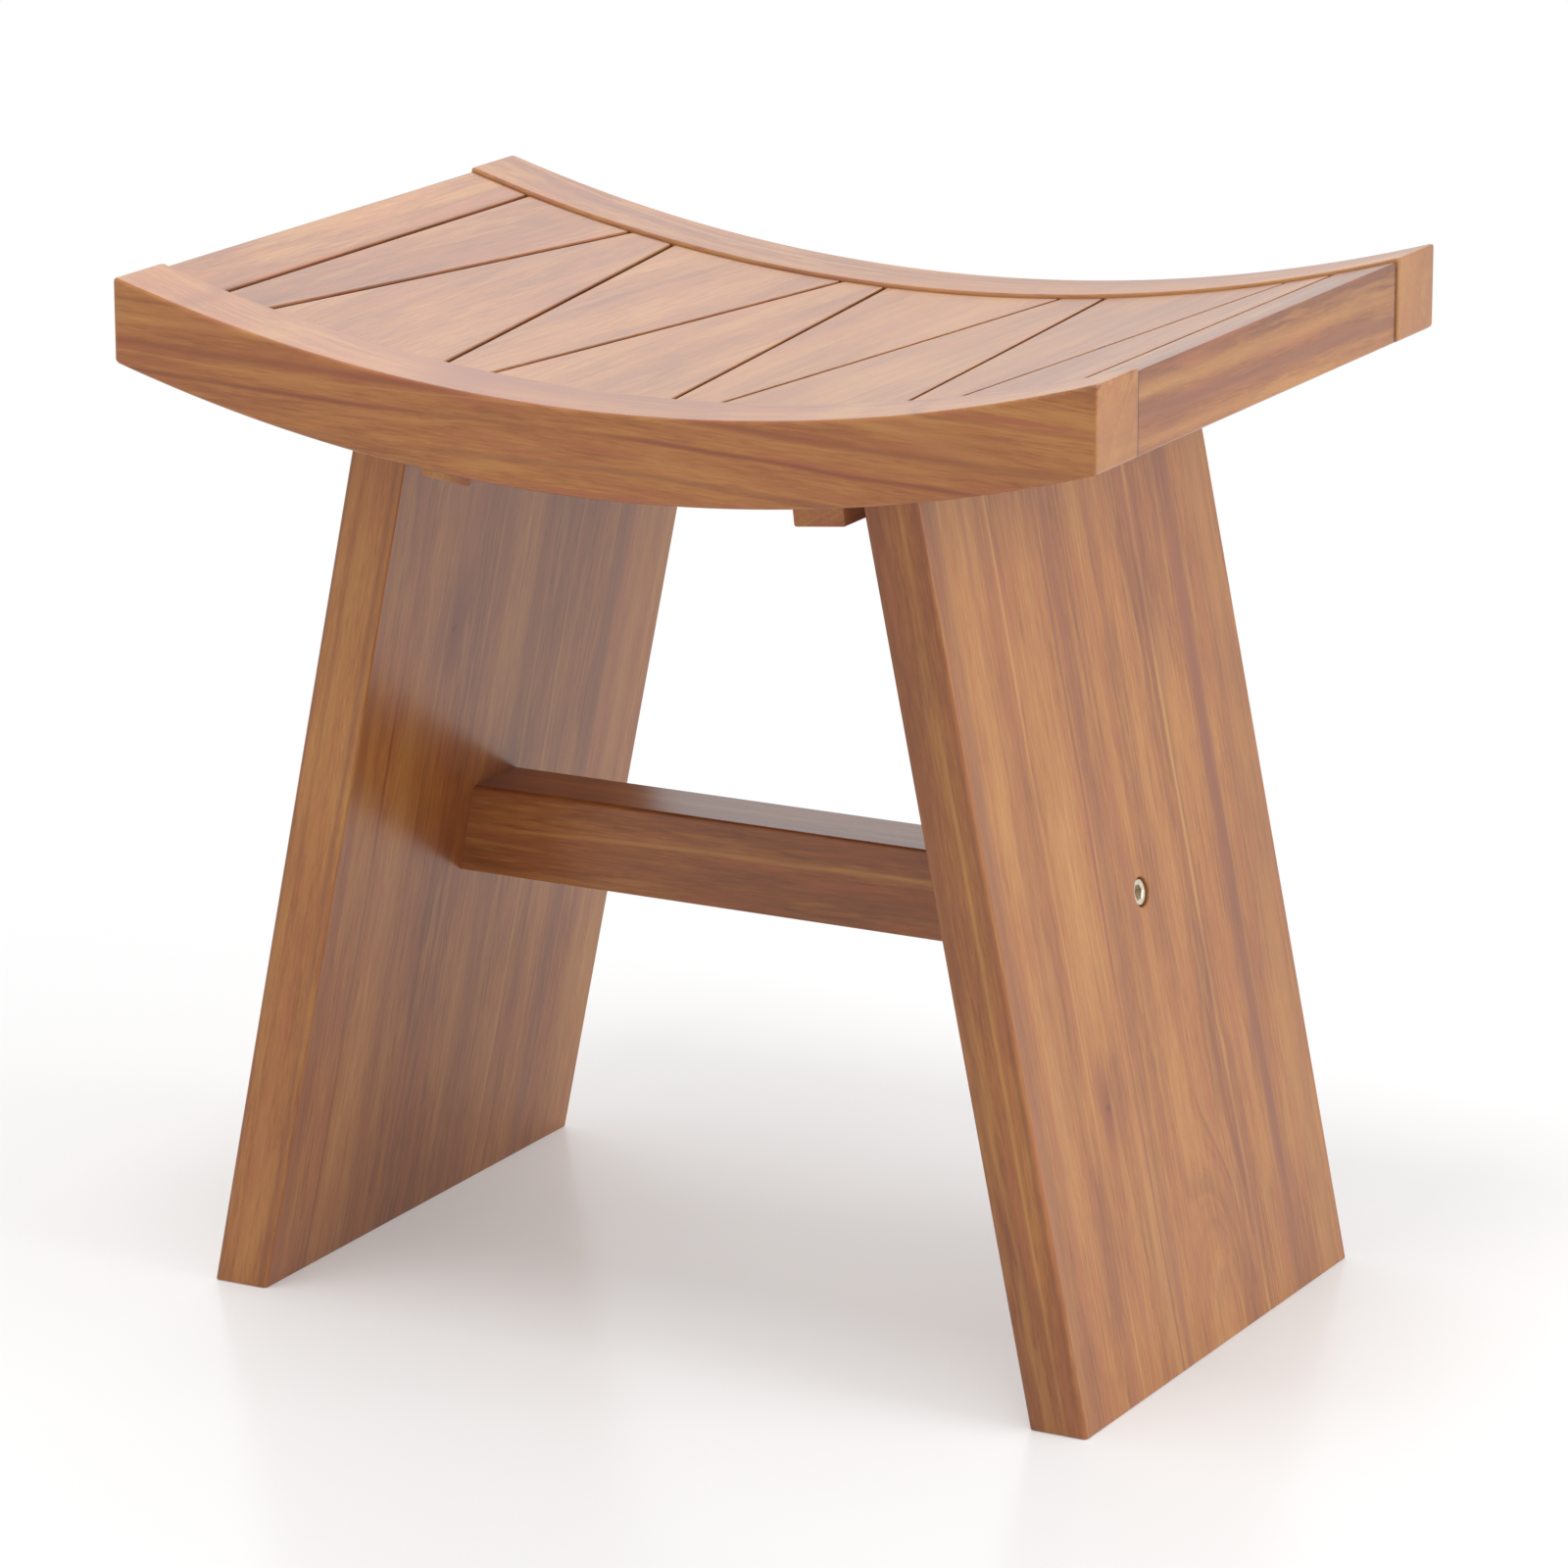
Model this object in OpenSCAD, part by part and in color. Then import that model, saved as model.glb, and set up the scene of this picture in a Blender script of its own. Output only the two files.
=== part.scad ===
// Shower bench of solid teak: a dished seat of eight tapered slats in a frame of
// two curved rails and two end rails, on two splayed panel legs with a stretcher.
// X runs along the seat, Y from front to rear, Z up from the floor. The origin is
// on the floor under the middle of the seat.

/* [Seat] */
// Length of the seat, end to end of the curved rails
seat_l = 450; // [420:1:520]
// Depth of the seat, over both curved rails
seat_w = 324; // [290:1:380]
// Height of the seat's raised ends above the floor
seat_h = 443; // [400:1:500]
// Dip of the seat in its middle, below its ends
seat_dip = 33.5; // [20:0.5:42]

/* [Curved rails] */
// Height of a curved rail
rail_h = 36; // [32:0.5:44]
// Thickness of a curved rail
rail_t = 37.5; // [32:0.5:45]
// Rounding of a curved rail's long edges
rail_round = 2; // [1:0.5:3]
// How far the curved rails stand above the slats
rail_proud = 1.5; // [0.5:0.5:3]

/* [End rails] */
// Width of an end rail, along the seat
end_rail_w = 28; // [24:0.5:34]
// How far an end rail's outer face lies inside the curved rails' ends
end_recess = 1; // [0.5:0.5:3]
// Thickness of an end rail's tenon, along the seat
tenon_t = 12; // [8:0.5:16]
// Height of an end rail's tenon
tenon_h = 16; // [12:0.5:20]
// Length of an end rail's tenon, into the curved rail
tenon_l = 20; // [12:0.5:26]

/* [Slats] */
// Thickness of a slat
slat_t = 15; // [12:0.5:17]
// Width of a slat at its narrow end
slat_narrow = 21; // [16:0.5:26]
// Width of the open joint between two slats
slat_gap = 1.8; // [1:0.1:3]
// Thickness of the tongue on a slat's ends
tongue_t = 6; // [4:0.5:8]
// Length of the tongue on a slat's ends
tongue_l = 8; // [5:0.5:12]

/* [Legs] */
// Thickness of a leg panel
leg_t = 25.5; // [22:0.5:30]
// Distance over the legs' outer edges on the floor
foot_spread = 417.6; // [390:0.2:440]
// Lean of the legs from upright, in degrees
leg_lean = 11.6; // [8:0.1:13]
// How far a leg's shoulder reaches under each curved rail
shoulder = 3.8; // [2:0.2:8]
// Rounding of a leg's long edges
leg_round = 2; // [1:0.5:3]

/* [Battens] */
// Width of a seat batten
batten_w = 23; // [20:0.5:28]
// Depth of a seat batten below the slats
batten_h = 33; // [30:0.5:40]
// Space between a batten's top edge and the leg beside it
batten_gap = 6; // [4:0.5:10]
// Space between a batten's shoulder and the curved rail above it
batten_shoulder_gap = 1.6; // [0.5:0.1:3]

/* [Stretcher] */
// Height of the stretcher's section
stretcher_h = 39; // [34:0.5:46]
// Width of the stretcher's section
stretcher_w = 36.5; // [34:0.5:44]
// Height of the stretcher's underside above the floor
stretcher_z = 163.5; // [120:0.5:220]
// Rounding of the stretcher's long edges
stretcher_round = 2; // [1:0.5:3]

/* [Stretcher joints] */
// Diameter of a stretcher bolt
bolt_d = 8; // [6:0.5:8]
// Diameter of a stretcher bolt's head
head_d = 12; // [10:0.5:14]
// Height of a stretcher bolt's head
head_h = 7; // [5:0.5:9]
// Width of the hexagon socket in the head, across its flats
hex_w = 6; // [4:0.5:7]
// Depth of the hexagon socket in the head
hex_depth = 4; // [3:0.5:5]
// How far a stretcher bolt runs on past its barrel nut's axis
bolt_tail = 10; // [8:0.5:14]
// How far the head lies below the leg's outer face
head_sunk = 1.2; // [0.5:0.1:3]
// Diameter of a barrel nut
nut_d = 14; // [12:0.5:15]
// Length of a barrel nut
nut_l = 24; // [20:0.5:28]
// Width of the slot in a barrel nut's rear end
nut_slot_w = 1.6; // [1:0.1:2.5]
// Depth of the slot in a barrel nut's rear end
nut_slot_depth = 1.5; // [1:0.1:3]
// Distance from the stretcher's end to its barrel nut's axis
nut_inset = 21; // [18:0.5:30]
// Diameter of a stretcher dowel
dowel_d = 8; // [6:0.5:9]
// Depth of a stretcher dowel in the leg
dowel_in_leg = 12; // [8:0.5:16]

/* [Leg fastenings] */
// Diameter of a leg bolt
leg_bolt_d = 6; // [5:0.5:7]
// Diameter of a leg bolt's head
leg_head_d = 10; // [9:0.5:12]
// Height of a leg bolt's head
leg_head_h = 5; // [4:0.5:6]
// Width of the hexagon socket in a leg bolt's head, across its flats
leg_hex_w = 4; // [3:0.5:5]
// Distance between the two leg bolts of one leg
leg_bolt_pitch = 140; // [110:1:180]
// Drop of a leg bolt below the slats, where it enters the leg
leg_bolt_drop = 15; // [13:0.5:18]
// Diameter of the threaded insert in a leg
insert_d = 10; // [9:0.5:12]
// Length of the threaded insert in a leg
insert_l = 13; // [10:0.5:15]
// Diameter of a batten screw
screw_d = 4.2; // [3:0.1:5]
// Diameter of a batten screw's head
screw_head_d = 8; // [7:0.5:9]
// Height of a batten screw's head
screw_head_h = 3; // [2:0.5:4]
// How deep a batten screw's head lies in the batten's underside
screw_sunk = 8; // [5:0.5:12]
// Depth of a batten screw in the slats
screw_bite = 10; // [8:0.5:11]

/* [Hidden] */

// Room left all round in a wood-to-wood joint
play = 0.2;
// Room left all round a metal piece in its hole, and round a stretcher bolt's head
hole_play = 0.25;
head_play = 1.5 * hole_play;
// How much wider a threaded hole is than its bolt
thread_play = 0.1;
// Room in a hole past the tip of its bolt or the end of its insert
tip_room = 2;
end_room = 1;
// Extra length that makes a cut run clear through, or two shapes overlap
over = 5;
lap = 1;
// Facets of the seat's large arc, of a small round, and of a rail's eased edges
arc_fn = 720;
round_fn = 48;
ease_fn = 12;

// The seat's arc: all of its curved faces are copies of it, lowered by a drop
half_l = seat_l / 2;
half_w = seat_w / 2;
arc_r = (half_l * half_l + seat_dip * seat_dip) / (2 * seat_dip);
arc_z = seat_h - seat_dip + arc_r;
function seat_z(x, drop) = arc_z - drop - sqrt(arc_r * arc_r - x * x);

// Drops below the curved rails' top
slat_top = rail_proud;
slat_under = rail_proud + slat_t;
tongue_top = rail_proud + (slat_t - tongue_t) / 2;
tongue_under = tongue_top + tongue_t;

// Clear width between the curved rails
inner_half = half_w - rail_t;
// Ends of the slat field, in the middle of the joints with the end rails
end_outer = half_l - end_recess;
end_inner = end_outer - end_rail_w;
end_mid = (end_outer + end_inner) / 2;
field_half = end_inner - slat_gap / 2;

// The slats lie head to tail. At the front the widths run narrow, wide, narrow,
// wide ... and end in a middling one; the rear is the same turned half round.
slat_count = 8;
slat_wide = (2 * field_half - slat_narrow * (slat_count + 1) / 2) * 2 / (slat_count - 1);
function front_x(i) = i == slat_count ? field_half
    : -field_half + ceil(i / 2) * slat_narrow + floor(i / 2) * slat_wide;
function rear_x(i) = -front_x(slat_count - i);
// Place of joint i at depth y, on the straight line from front to rear
function joint_x(i, y) = front_x(i) + (rear_x(i) - front_x(i)) * (y + inner_half) / (2 * inner_half);

// Faces of the right leg: where they stand at height z
foot_x = foot_spread / 2;
function leg_inner(z) = foot_x - leg_t / cos(leg_lean) - z * tan(leg_lean);
leg_half_w = inner_half + shoulder;
tongue_half_w = inner_half - play;

// Where the leg's inner face meets the slats, found by closing in on it
meet_turns = 8;
function meet(x, turns) = turns == 0 ? x : meet(leg_inner(seat_z(x, slat_under)), turns - 1);
leg_top_x = meet(half_l / 2, meet_turns);
leg_top_z = seat_z(leg_top_x, slat_under);

// The batten stands square to the slats, just inside the leg
batten_x = leg_top_x - batten_gap - batten_w / 2;
batten_tilt = asin(batten_x / arc_r);
// Places of the batten's screws, as shares of the width between the curved rails
screw_rows = [-0.4, -0.15, 0.15, 0.4] * 2 * inner_half;

// The stretcher bolt is square to the leg and meets the barrel nut at mid-height
stretcher_mid = stretcher_z + stretcher_h / 2;
nut_x = leg_inner(stretcher_mid) - nut_inset / cos(leg_lean);
head_top = nut_inset + leg_t - head_sunk;
// The dowels beside it stop short of the barrel nut
dowel_in_stretcher = nut_inset - nut_d / 2 - end_room;
dowel_y = (stretcher_w + bolt_d) / 4;

// The leg bolt runs square to the leg, from about half-way through the batten
leg_bolt_z = leg_top_z - leg_bolt_drop;
leg_bolt_grip = batten_gap + batten_w / 2;
leg_bolt_reach = insert_l - end_room;
leg_hex_depth = leg_head_h / 2;

// Width of the rings that a curved rail is cut from
rail_ring_w = rail_h + seat_dip + 2 * over;

teak_rail = "#9c6238";
teak_end = "#a97045";
teak_slat = "#c09066";
teak_leg = "#b07a4b";
teak_batten = "#8a5a36";
metal = "#c9b48a";

// Extrudes an X-Z outline between two depths
module across(y_from, y_to) {
    translate([0, y_to, 0]) rotate([90, 0, 0]) linear_extrude(y_to - y_from) children();
}

// Disc whose lower edge is the seat's arc, lowered by a drop
module seat_disc(drop) {
    translate([0, arc_z - drop]) circle(r = arc_r, $fn = arc_fn);
}

// Outline between two copies of the seat's arc, in the X-Z plane
module band(top, under, x_from, x_to) {
    intersection() {
        translate([x_from, seat_z(0, under) - over])
            square([x_to - x_from, seat_dip + under - top + 2 * over]);
        difference() {
            seat_disc(under);
            seat_disc(top);
        }
    }
}

// Rectangle with rounded corners, from the origin
module rounded(w, h, r, fn) {
    difference() {
        square([w, h]);
        for (x = [0, 1], y = [0, 1]) {
            translate([x * w, y * h]) mirror([x, 0]) mirror([0, y]) difference() {
                translate([-lap, -lap]) square(r + lap);
                translate([r, r]) circle(r = r, $fn = fn);
            }
        }
    }
}

// Takes its child to both ends of the bench
module both_ends() {
    children();
    mirror([1, 0, 0]) children();
}

// Frame on the stretcher bolt's axis: origin at the barrel nut, +Z out of the leg
module at_bolt() {
    translate([nut_x, 0, stretcher_mid]) rotate([0, 90 - leg_lean, 0]) children();
}

// Frames on the leg bolts' axes: origin on the leg's inner face, +Z into the leg
module at_leg_bolts() {
    for (side = [-1, 1]) {
        translate([leg_inner(leg_bolt_z), side * leg_bolt_pitch / 2, leg_bolt_z])
            rotate([0, 90 - leg_lean, 0]) children();
    }
}

// Frame on the batten: origin on its top at the slats, +Z square up to them
module at_batten() {
    translate([batten_x, 0, seat_z(batten_x, slat_under)]) rotate([0, -batten_tilt, 0]) children();
}

// Ring round the seat's arc, lowered by a drop, with the rail's rounded section
module rail_ring(drop, r_from) {
    translate([0, 0, arc_z - drop]) rotate([90, 0, 0]) rotate_extrude($fn = arc_fn)
        translate([r_from, -rail_t / 2]) rounded(rail_ring_w, rail_t, rail_round, ease_fn);
}

// Curved rail: both long faces follow the seat's arc, and its ends are upright
module curved_rail(side) {
    color(teak_rail) difference() {
        translate([0, side * (half_w - rail_t / 2), 0]) intersection() {
            rail_ring(0, arc_r);
            rail_ring(rail_h, arc_r - rail_ring_w);
            translate([-half_l, -rail_t / 2, seat_h - rail_ring_w])
                cube([seat_l, rail_t, rail_ring_w + over]);
        }
        slat_groove(side);
        both_ends() tenon(side, play);
    }
}

// Groove in a curved rail for the tongues of the slats
module slat_groove(side) {
    y_from = inner_half - lap;
    y_to = inner_half + tongue_l + play;
    across(side > 0 ? y_from : -y_to, side > 0 ? y_to : -y_from)
        band(tongue_top - play, tongue_under + play, -end_inner, end_inner);
}

// Tenon of the right end rail, at the front or the rear
module tenon(side, room) {
    z_mid = seat_z(end_mid, (rail_h + slat_top) / 2);
    y_from = inner_half - lap;
    y_to = inner_half + tenon_l + room;
    translate([end_mid - tenon_t / 2 - room, side > 0 ? y_from : -y_to, z_mid - tenon_h / 2 - room])
        cube([tenon_t + 2 * room, y_to - y_from, tenon_h + 2 * room]);
}

// End rail, flush with the slats on top and with the curved rails below
module end_rail() {
    across(-inner_half, inner_half) band(slat_top, rail_h, end_inner, end_outer);
    for (side = [-1, 1]) tenon(side, 0);
}

// Outline of slat i seen from above, out to a given depth
module slat_plan(i, y_end) {
    g = slat_gap / 2;
    polygon([[joint_x(i - 1, -y_end) + g, -y_end], [joint_x(i, -y_end) - g, -y_end],
        [joint_x(i, y_end) - g, y_end], [joint_x(i - 1, y_end) + g, y_end]]);
}

// Slat i, counted from the left: its ends are rebated to tongues
module slat(i) {
    shoulder_y = inner_half - play;
    tip_y = inner_half + tongue_l;
    color(teak_slat) difference() {
        intersection() {
            across(-tip_y, tip_y) band(slat_top, slat_under, -end_inner, end_inner);
            translate([0, 0, seat_z(0, slat_under) - over])
                linear_extrude(seat_dip + slat_t + 2 * over) slat_plan(i, tip_y);
        }
        for (y_from = [-tip_y - over, shoulder_y]) {
            across(y_from, y_from + tip_y + over - shoulder_y) {
                seat_disc(tongue_top);
                band(tongue_under, slat_under + over, -half_l, half_l);
            }
        }
        both_ends() batten_screw_set(hole_play);
    }
}

// Takes off what lies over the rails' undersides at a panel's two edges
module shoulder_cuts(gap) {
    for (side = [-1, 1]) {
        y_mid = side * (tongue_half_w + shoulder + over);
        across(y_mid - shoulder - over, y_mid + shoulder + over) seat_disc(rail_h + gap);
    }
}

// Right leg: a leaning panel, flat on the floor, with its top between the rails
module leg() {
    panel_l = seat_h / cos(leg_lean) + 2 * leg_t;
    difference() {
        translate([foot_x, 0, 0]) rotate([0, -leg_lean, 0])
            translate([-leg_t, -leg_half_w, -leg_t])
                linear_extrude(panel_l) rounded(leg_t, 2 * leg_half_w, leg_round, round_fn);
        translate([0, -leg_half_w - over, -2 * leg_t])
            cube([foot_x + leg_t, 2 * (leg_half_w + over), 2 * leg_t]);
        across(-leg_half_w - over, leg_half_w + over) seat_disc(slat_under);
        shoulder_cuts(0);
        at_bolt() {
            cylinder(d = bolt_d + 2 * hole_play, h = nut_inset + leg_t + over, $fn = round_fn);
            translate([0, 0, head_top - head_h])
                cylinder(d = head_d + 2 * head_play, h = head_h + head_sunk + over, $fn = round_fn);
        }
        dowel_pair(play);
        at_leg_bolts() translate([0, 0, -lap])
            cylinder(d = insert_d + 2 * hole_play, h = lap + insert_l + end_room, $fn = round_fn);
    }
}

// Seat batten: screwed up under the slats and bolted to the leg
module batten() {
    difference() {
        at_batten() translate([-batten_w / 2, -leg_half_w, -batten_h])
            cube([batten_w, 2 * leg_half_w, batten_h + over]);
        across(-leg_half_w - over, leg_half_w + over) seat_disc(slat_under);
        shoulder_cuts(batten_shoulder_gap);
        batten_screw_set(hole_play);
        at_batten() for (y = screw_rows) translate([0, y, -batten_h - over])
            cylinder(d = screw_head_d + 2 * hole_play, h = screw_sunk + over, $fn = round_fn);
        at_leg_bolts() {
            translate([0, 0, -2 * batten_w])
                cylinder(d = leg_bolt_d + 2 * hole_play, h = 2 * batten_w, $fn = round_fn);
            translate([0, 0, -leg_bolt_grip - 2 * batten_w])
                cylinder(d = leg_head_d + 2 * hole_play, h = 2 * batten_w, $fn = round_fn);
        }
    }
}

// Stretcher between the legs, its ends cut to their lean
module stretcher() {
    low_x = leg_inner(stretcher_z);
    high_x = leg_inner(stretcher_z + stretcher_h);
    color(teak_leg) difference() {
        intersection() {
            translate([-low_x, 0, 0]) rotate([90, 0, 90])
                translate([-stretcher_w / 2, stretcher_z]) linear_extrude(2 * low_x)
                    rounded(stretcher_w, stretcher_h, stretcher_round, round_fn);
            across(-stretcher_w, stretcher_w)
                polygon([[-low_x, stretcher_z], [low_x, stretcher_z],
                    [high_x, stretcher_z + stretcher_h], [-high_x, stretcher_z + stretcher_h]]);
        }
        both_ends() {
            at_bolt() translate([0, 0, -bolt_tail - tip_room])
                cylinder(d = bolt_d + 2 * hole_play, h = nut_inset + bolt_tail + over, $fn = round_fn);
            translate([nut_x, stretcher_w / 2 + over, stretcher_mid]) rotate([90, 0, 0])
                cylinder(d = nut_d + 2 * hole_play, h = (stretcher_w + nut_l) / 2 + over + hole_play,
                    $fn = round_fn);
            dowel_pair(play);
        }
    }
}

// Socket-head bolt from its tail at z = 0, with the head's top at z = length
module socket_bolt(d, length, cap_d, cap_h, socket_w, depth) {
    difference() {
        union() {
            cylinder(d = d, h = length - cap_h / 2, $fn = round_fn);
            translate([0, 0, length - cap_h]) cylinder(d = cap_d, h = cap_h, $fn = round_fn);
        }
        translate([0, 0, length - depth]) cylinder(d = socket_w / cos(30), h = depth + lap, $fn = 6);
    }
}

// Stretcher bolts, one through each leg
module stretcher_bolts() {
    color(metal) both_ends() at_bolt() translate([0, 0, -bolt_tail])
        socket_bolt(bolt_d, head_top + bolt_tail, head_d, head_h, hex_w, hex_depth);
}

// Barrel nuts in the stretcher, put in from the rear: the slot, which turns the thread
// to meet the bolt, lies along the bolt
module barrel_nuts() {
    color(metal) both_ends() difference() {
        translate([nut_x, nut_l / 2, stretcher_mid]) rotate([90, 0, 0])
            cylinder(d = nut_d, h = nut_l, $fn = round_fn);
        at_bolt() {
            translate([0, 0, -nut_d]) cylinder(d = bolt_d + thread_play, h = 2 * nut_d, $fn = round_fn);
            translate([-nut_slot_w / 2, nut_l / 2 - nut_slot_depth, -nut_d])
                cube([nut_slot_w, nut_slot_depth + lap, 2 * nut_d]);
        }
    }
}

// Dowels beside the right stretcher bolt
module dowel_pair(room) {
    at_bolt() for (side = [-1, 1])
        translate([0, side * dowel_y, nut_inset - dowel_in_stretcher - room])
            cylinder(d = dowel_d + 2 * room, h = dowel_in_stretcher + dowel_in_leg + 2 * room,
                $fn = round_fn);
}

module stretcher_dowels() {
    color(teak_end) both_ends() dowel_pair(0);
}

// Leg bolts, two through each batten
module leg_bolts() {
    color(metal) both_ends() at_leg_bolts()
        translate([0, 0, leg_bolt_reach]) rotate([180, 0, 0])
            socket_bolt(leg_bolt_d, leg_bolt_reach + leg_bolt_grip + leg_head_h,
                leg_head_d, leg_head_h, leg_hex_w, leg_hex_depth);
}

// Threaded inserts in the legs
module leg_inserts() {
    color(metal) both_ends() at_leg_bolts() difference() {
        cylinder(d = insert_d, h = insert_l, $fn = round_fn);
        translate([0, 0, -lap])
            cylinder(d = leg_bolt_d + thread_play, h = insert_l + 2 * lap, $fn = round_fn);
    }
}

// The right batten's screws, grown by some room when they are holes
module batten_screw_set(room) {
    at_batten() for (y = screw_rows) translate([0, y, 0]) {
        translate([0, 0, screw_sunk - batten_h - room])
            cylinder(d = screw_d + 2 * room, h = batten_h - screw_sunk + screw_bite + 2 * room,
                $fn = round_fn);
        translate([0, 0, screw_sunk - batten_h - room])
            cylinder(d = screw_head_d + 2 * room, h = screw_head_h + room, $fn = round_fn);
    }
}

module batten_screws() {
    color(metal) both_ends() batten_screw_set(0);
}

curved_rail(-1);  // rail_front
curved_rail(1);  // rail_rear
color(teak_end) mirror([1, 0, 0]) end_rail();  // end_rail_left
color(teak_end) end_rail();  // end_rail_right
slat(1);  // slat_1
slat(2);  // slat_2
slat(3);  // slat_3
slat(4);  // slat_4
slat(5);  // slat_5
slat(6);  // slat_6
slat(7);  // slat_7
slat(8);  // slat_8
color(teak_batten) mirror([1, 0, 0]) batten();  // batten_left
color(teak_batten) batten();  // batten_right
color(teak_leg) mirror([1, 0, 0]) leg();  // leg_left
color(teak_leg) leg();  // leg_right
stretcher();
stretcher_bolts();
barrel_nuts();
stretcher_dowels();
leg_bolts();
leg_inserts();
batten_screws();
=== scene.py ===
import math

import bmesh
import bpy
from mathutils import Matrix, Vector


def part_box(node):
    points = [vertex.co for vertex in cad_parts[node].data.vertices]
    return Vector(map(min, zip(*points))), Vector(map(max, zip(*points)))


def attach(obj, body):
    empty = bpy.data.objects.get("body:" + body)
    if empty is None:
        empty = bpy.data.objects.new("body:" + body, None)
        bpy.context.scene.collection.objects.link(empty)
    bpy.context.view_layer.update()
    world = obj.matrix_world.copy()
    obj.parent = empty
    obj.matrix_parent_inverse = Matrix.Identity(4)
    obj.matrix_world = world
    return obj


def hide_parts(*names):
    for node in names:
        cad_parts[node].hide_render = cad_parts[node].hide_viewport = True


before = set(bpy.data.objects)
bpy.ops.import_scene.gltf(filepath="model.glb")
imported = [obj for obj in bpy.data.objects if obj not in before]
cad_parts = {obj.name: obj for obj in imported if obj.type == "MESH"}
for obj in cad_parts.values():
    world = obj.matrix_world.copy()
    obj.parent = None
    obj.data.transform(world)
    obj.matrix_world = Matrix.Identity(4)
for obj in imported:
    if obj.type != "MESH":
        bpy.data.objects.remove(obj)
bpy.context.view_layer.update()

# Shower bench of solid teak. Metres, in the CAD's frame: X along the seat, Y from
# front to rear, Z up from the floor, origin on the floor under the seat's middle.

# ---------------------------------------------------------------- sizes
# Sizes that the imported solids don't tell by themselves, as in the CAD. The seat:
SEAT_DIP = 0.0335
SLAT_T = 0.015
SLAT_NARROW = 0.021
SLAT_GAP = 0.0018
SLAT_COUNT = 8
TONGUE_T = 0.006
TONGUE_L = 0.008
RAIL_PROUD = 0.0015
TENON_T = 0.012
TENON_H = 0.016
TENON_L = 0.020

# Legs and battens
LEG_T = 0.0255
LEG_LEAN = math.radians(11.6)
BATTEN_W = 0.023
BATTEN_H = 0.033
BATTEN_GAP = 0.006
BATTEN_SHOULDER_GAP = 0.0016

# Fastenings of the stretcher
NUT_D = 0.014
NUT_L = 0.024
NUT_SLOT_W = 0.0016
NUT_SLOT_DEPTH = 0.0015
NUT_INSET = 0.021
BOLT_D = 0.008
HEAD_D = 0.012
HEAD_H = 0.007
HEAD_SUNK = 0.0012
HEX_W = 0.006
HEX_DEPTH = 0.004
BOLT_TAIL = 0.010
DOWEL_D = 0.008
DOWEL_IN_LEG = 0.012

# Fastenings between battens and legs, and up into the slats
LEG_BOLT_D = 0.006
LEG_HEAD_D = 0.010
LEG_HEAD_H = 0.005
LEG_HEX_W = 0.004
LEG_BOLT_PITCH = 0.140
LEG_BOLT_DROP = 0.015
INSERT_D = 0.010
INSERT_L = 0.013
SCREW_D = 0.0042
SCREW_HEAD_D = 0.008
SCREW_HEAD_H = 0.003
SCREW_SUNK = 0.008
SCREW_BITE = 0.010
SCREW_ROWS = (-0.4, -0.15, 0.15, 0.4)  # places along the slats, as shares of their length

# Clearances
PLAY = 0.0002
HOLE_PLAY = 0.00025
END_ROOM = 0.001

# Finish of the edges
RAIL_ROUND = 0.002
LEG_ROUND = 0.002
STRETCHER_ROUND = 0.002
SLAT_EASE = 0.0008
FINE_EASE = 0.0005
RAIL_END_EASE = 0.0014
ROUND_STEPS = 4
EASE_STEPS = 2
RIM = 0.0004  # chamfer at the mouth of a hole

# Small shapes of the hardware, as shares of other sizes
TAIL_CHAMFER = 0.12  # of the bolt's diameter
HEAD_CHAMFER = 0.06  # of the head's diameter
SOCKET_MOUTH = 0.66  # radius of the socket's mouth, of the hexagon's width
SOCKET_LEAD = 0.08  # depth of the slope inside the mouth, of the hexagon's width
SOCKET_POINT = 0.12  # radius at the bottom of the dish, of the hexagon's width
SOCKET_DISH = 1.2  # depth to the bottom of the dish, of the socket's depth
NUT_CHAMFER = 0.05  # of the nut's diameter
SCREW_HEAD_TOP = 0.36  # radius of the head's top, of the head's diameter
SCREW_HEX = 0.38  # width of the hexagon, of the head's diameter
SCREW_HEX_DEPTH = 0.7  # of the head's height

# How finely curves are cut, and how close counts as the same
HOLE_SIDES = 32
HOLE_PATCH = 0.72  # half width of the patch round a hole, of the hole's diameter
HOLE_PATCH_EDGE = 0.1  # width of the flat edge inside the patch, of its half width
POST_SIDES = 48
SLICE = 0.009
MEET_STEPS = 10
SHARP = math.radians(35)
SAME_PLACE = 1e-6
SAME_FACE = 1e-5
SAME_WAY = 0.9999
CUT_SNAP = 1e-7

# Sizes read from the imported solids
RAIL_LOW, RAIL_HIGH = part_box("rail_rear")
END_LOW, END_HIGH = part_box("end_rail_right")
LEG_LOW, LEG_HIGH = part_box("leg_right")
STRETCHER_LOW, STRETCHER_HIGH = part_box("stretcher")
HALF_L = RAIL_HIGH.x
HALF_W = RAIL_HIGH.y
INNER_HALF = RAIL_LOW.y
SEAT_H = RAIL_HIGH.z
RAIL_H = SEAT_H - SEAT_DIP - RAIL_LOW.z
END_INNER = END_LOW.x
END_OUTER = END_HIGH.x
FOOT_X = LEG_HIGH.x
LEG_HALF_W = LEG_HIGH.y
STRETCHER_MID = (STRETCHER_LOW.z + STRETCHER_HIGH.z) / 2

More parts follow.
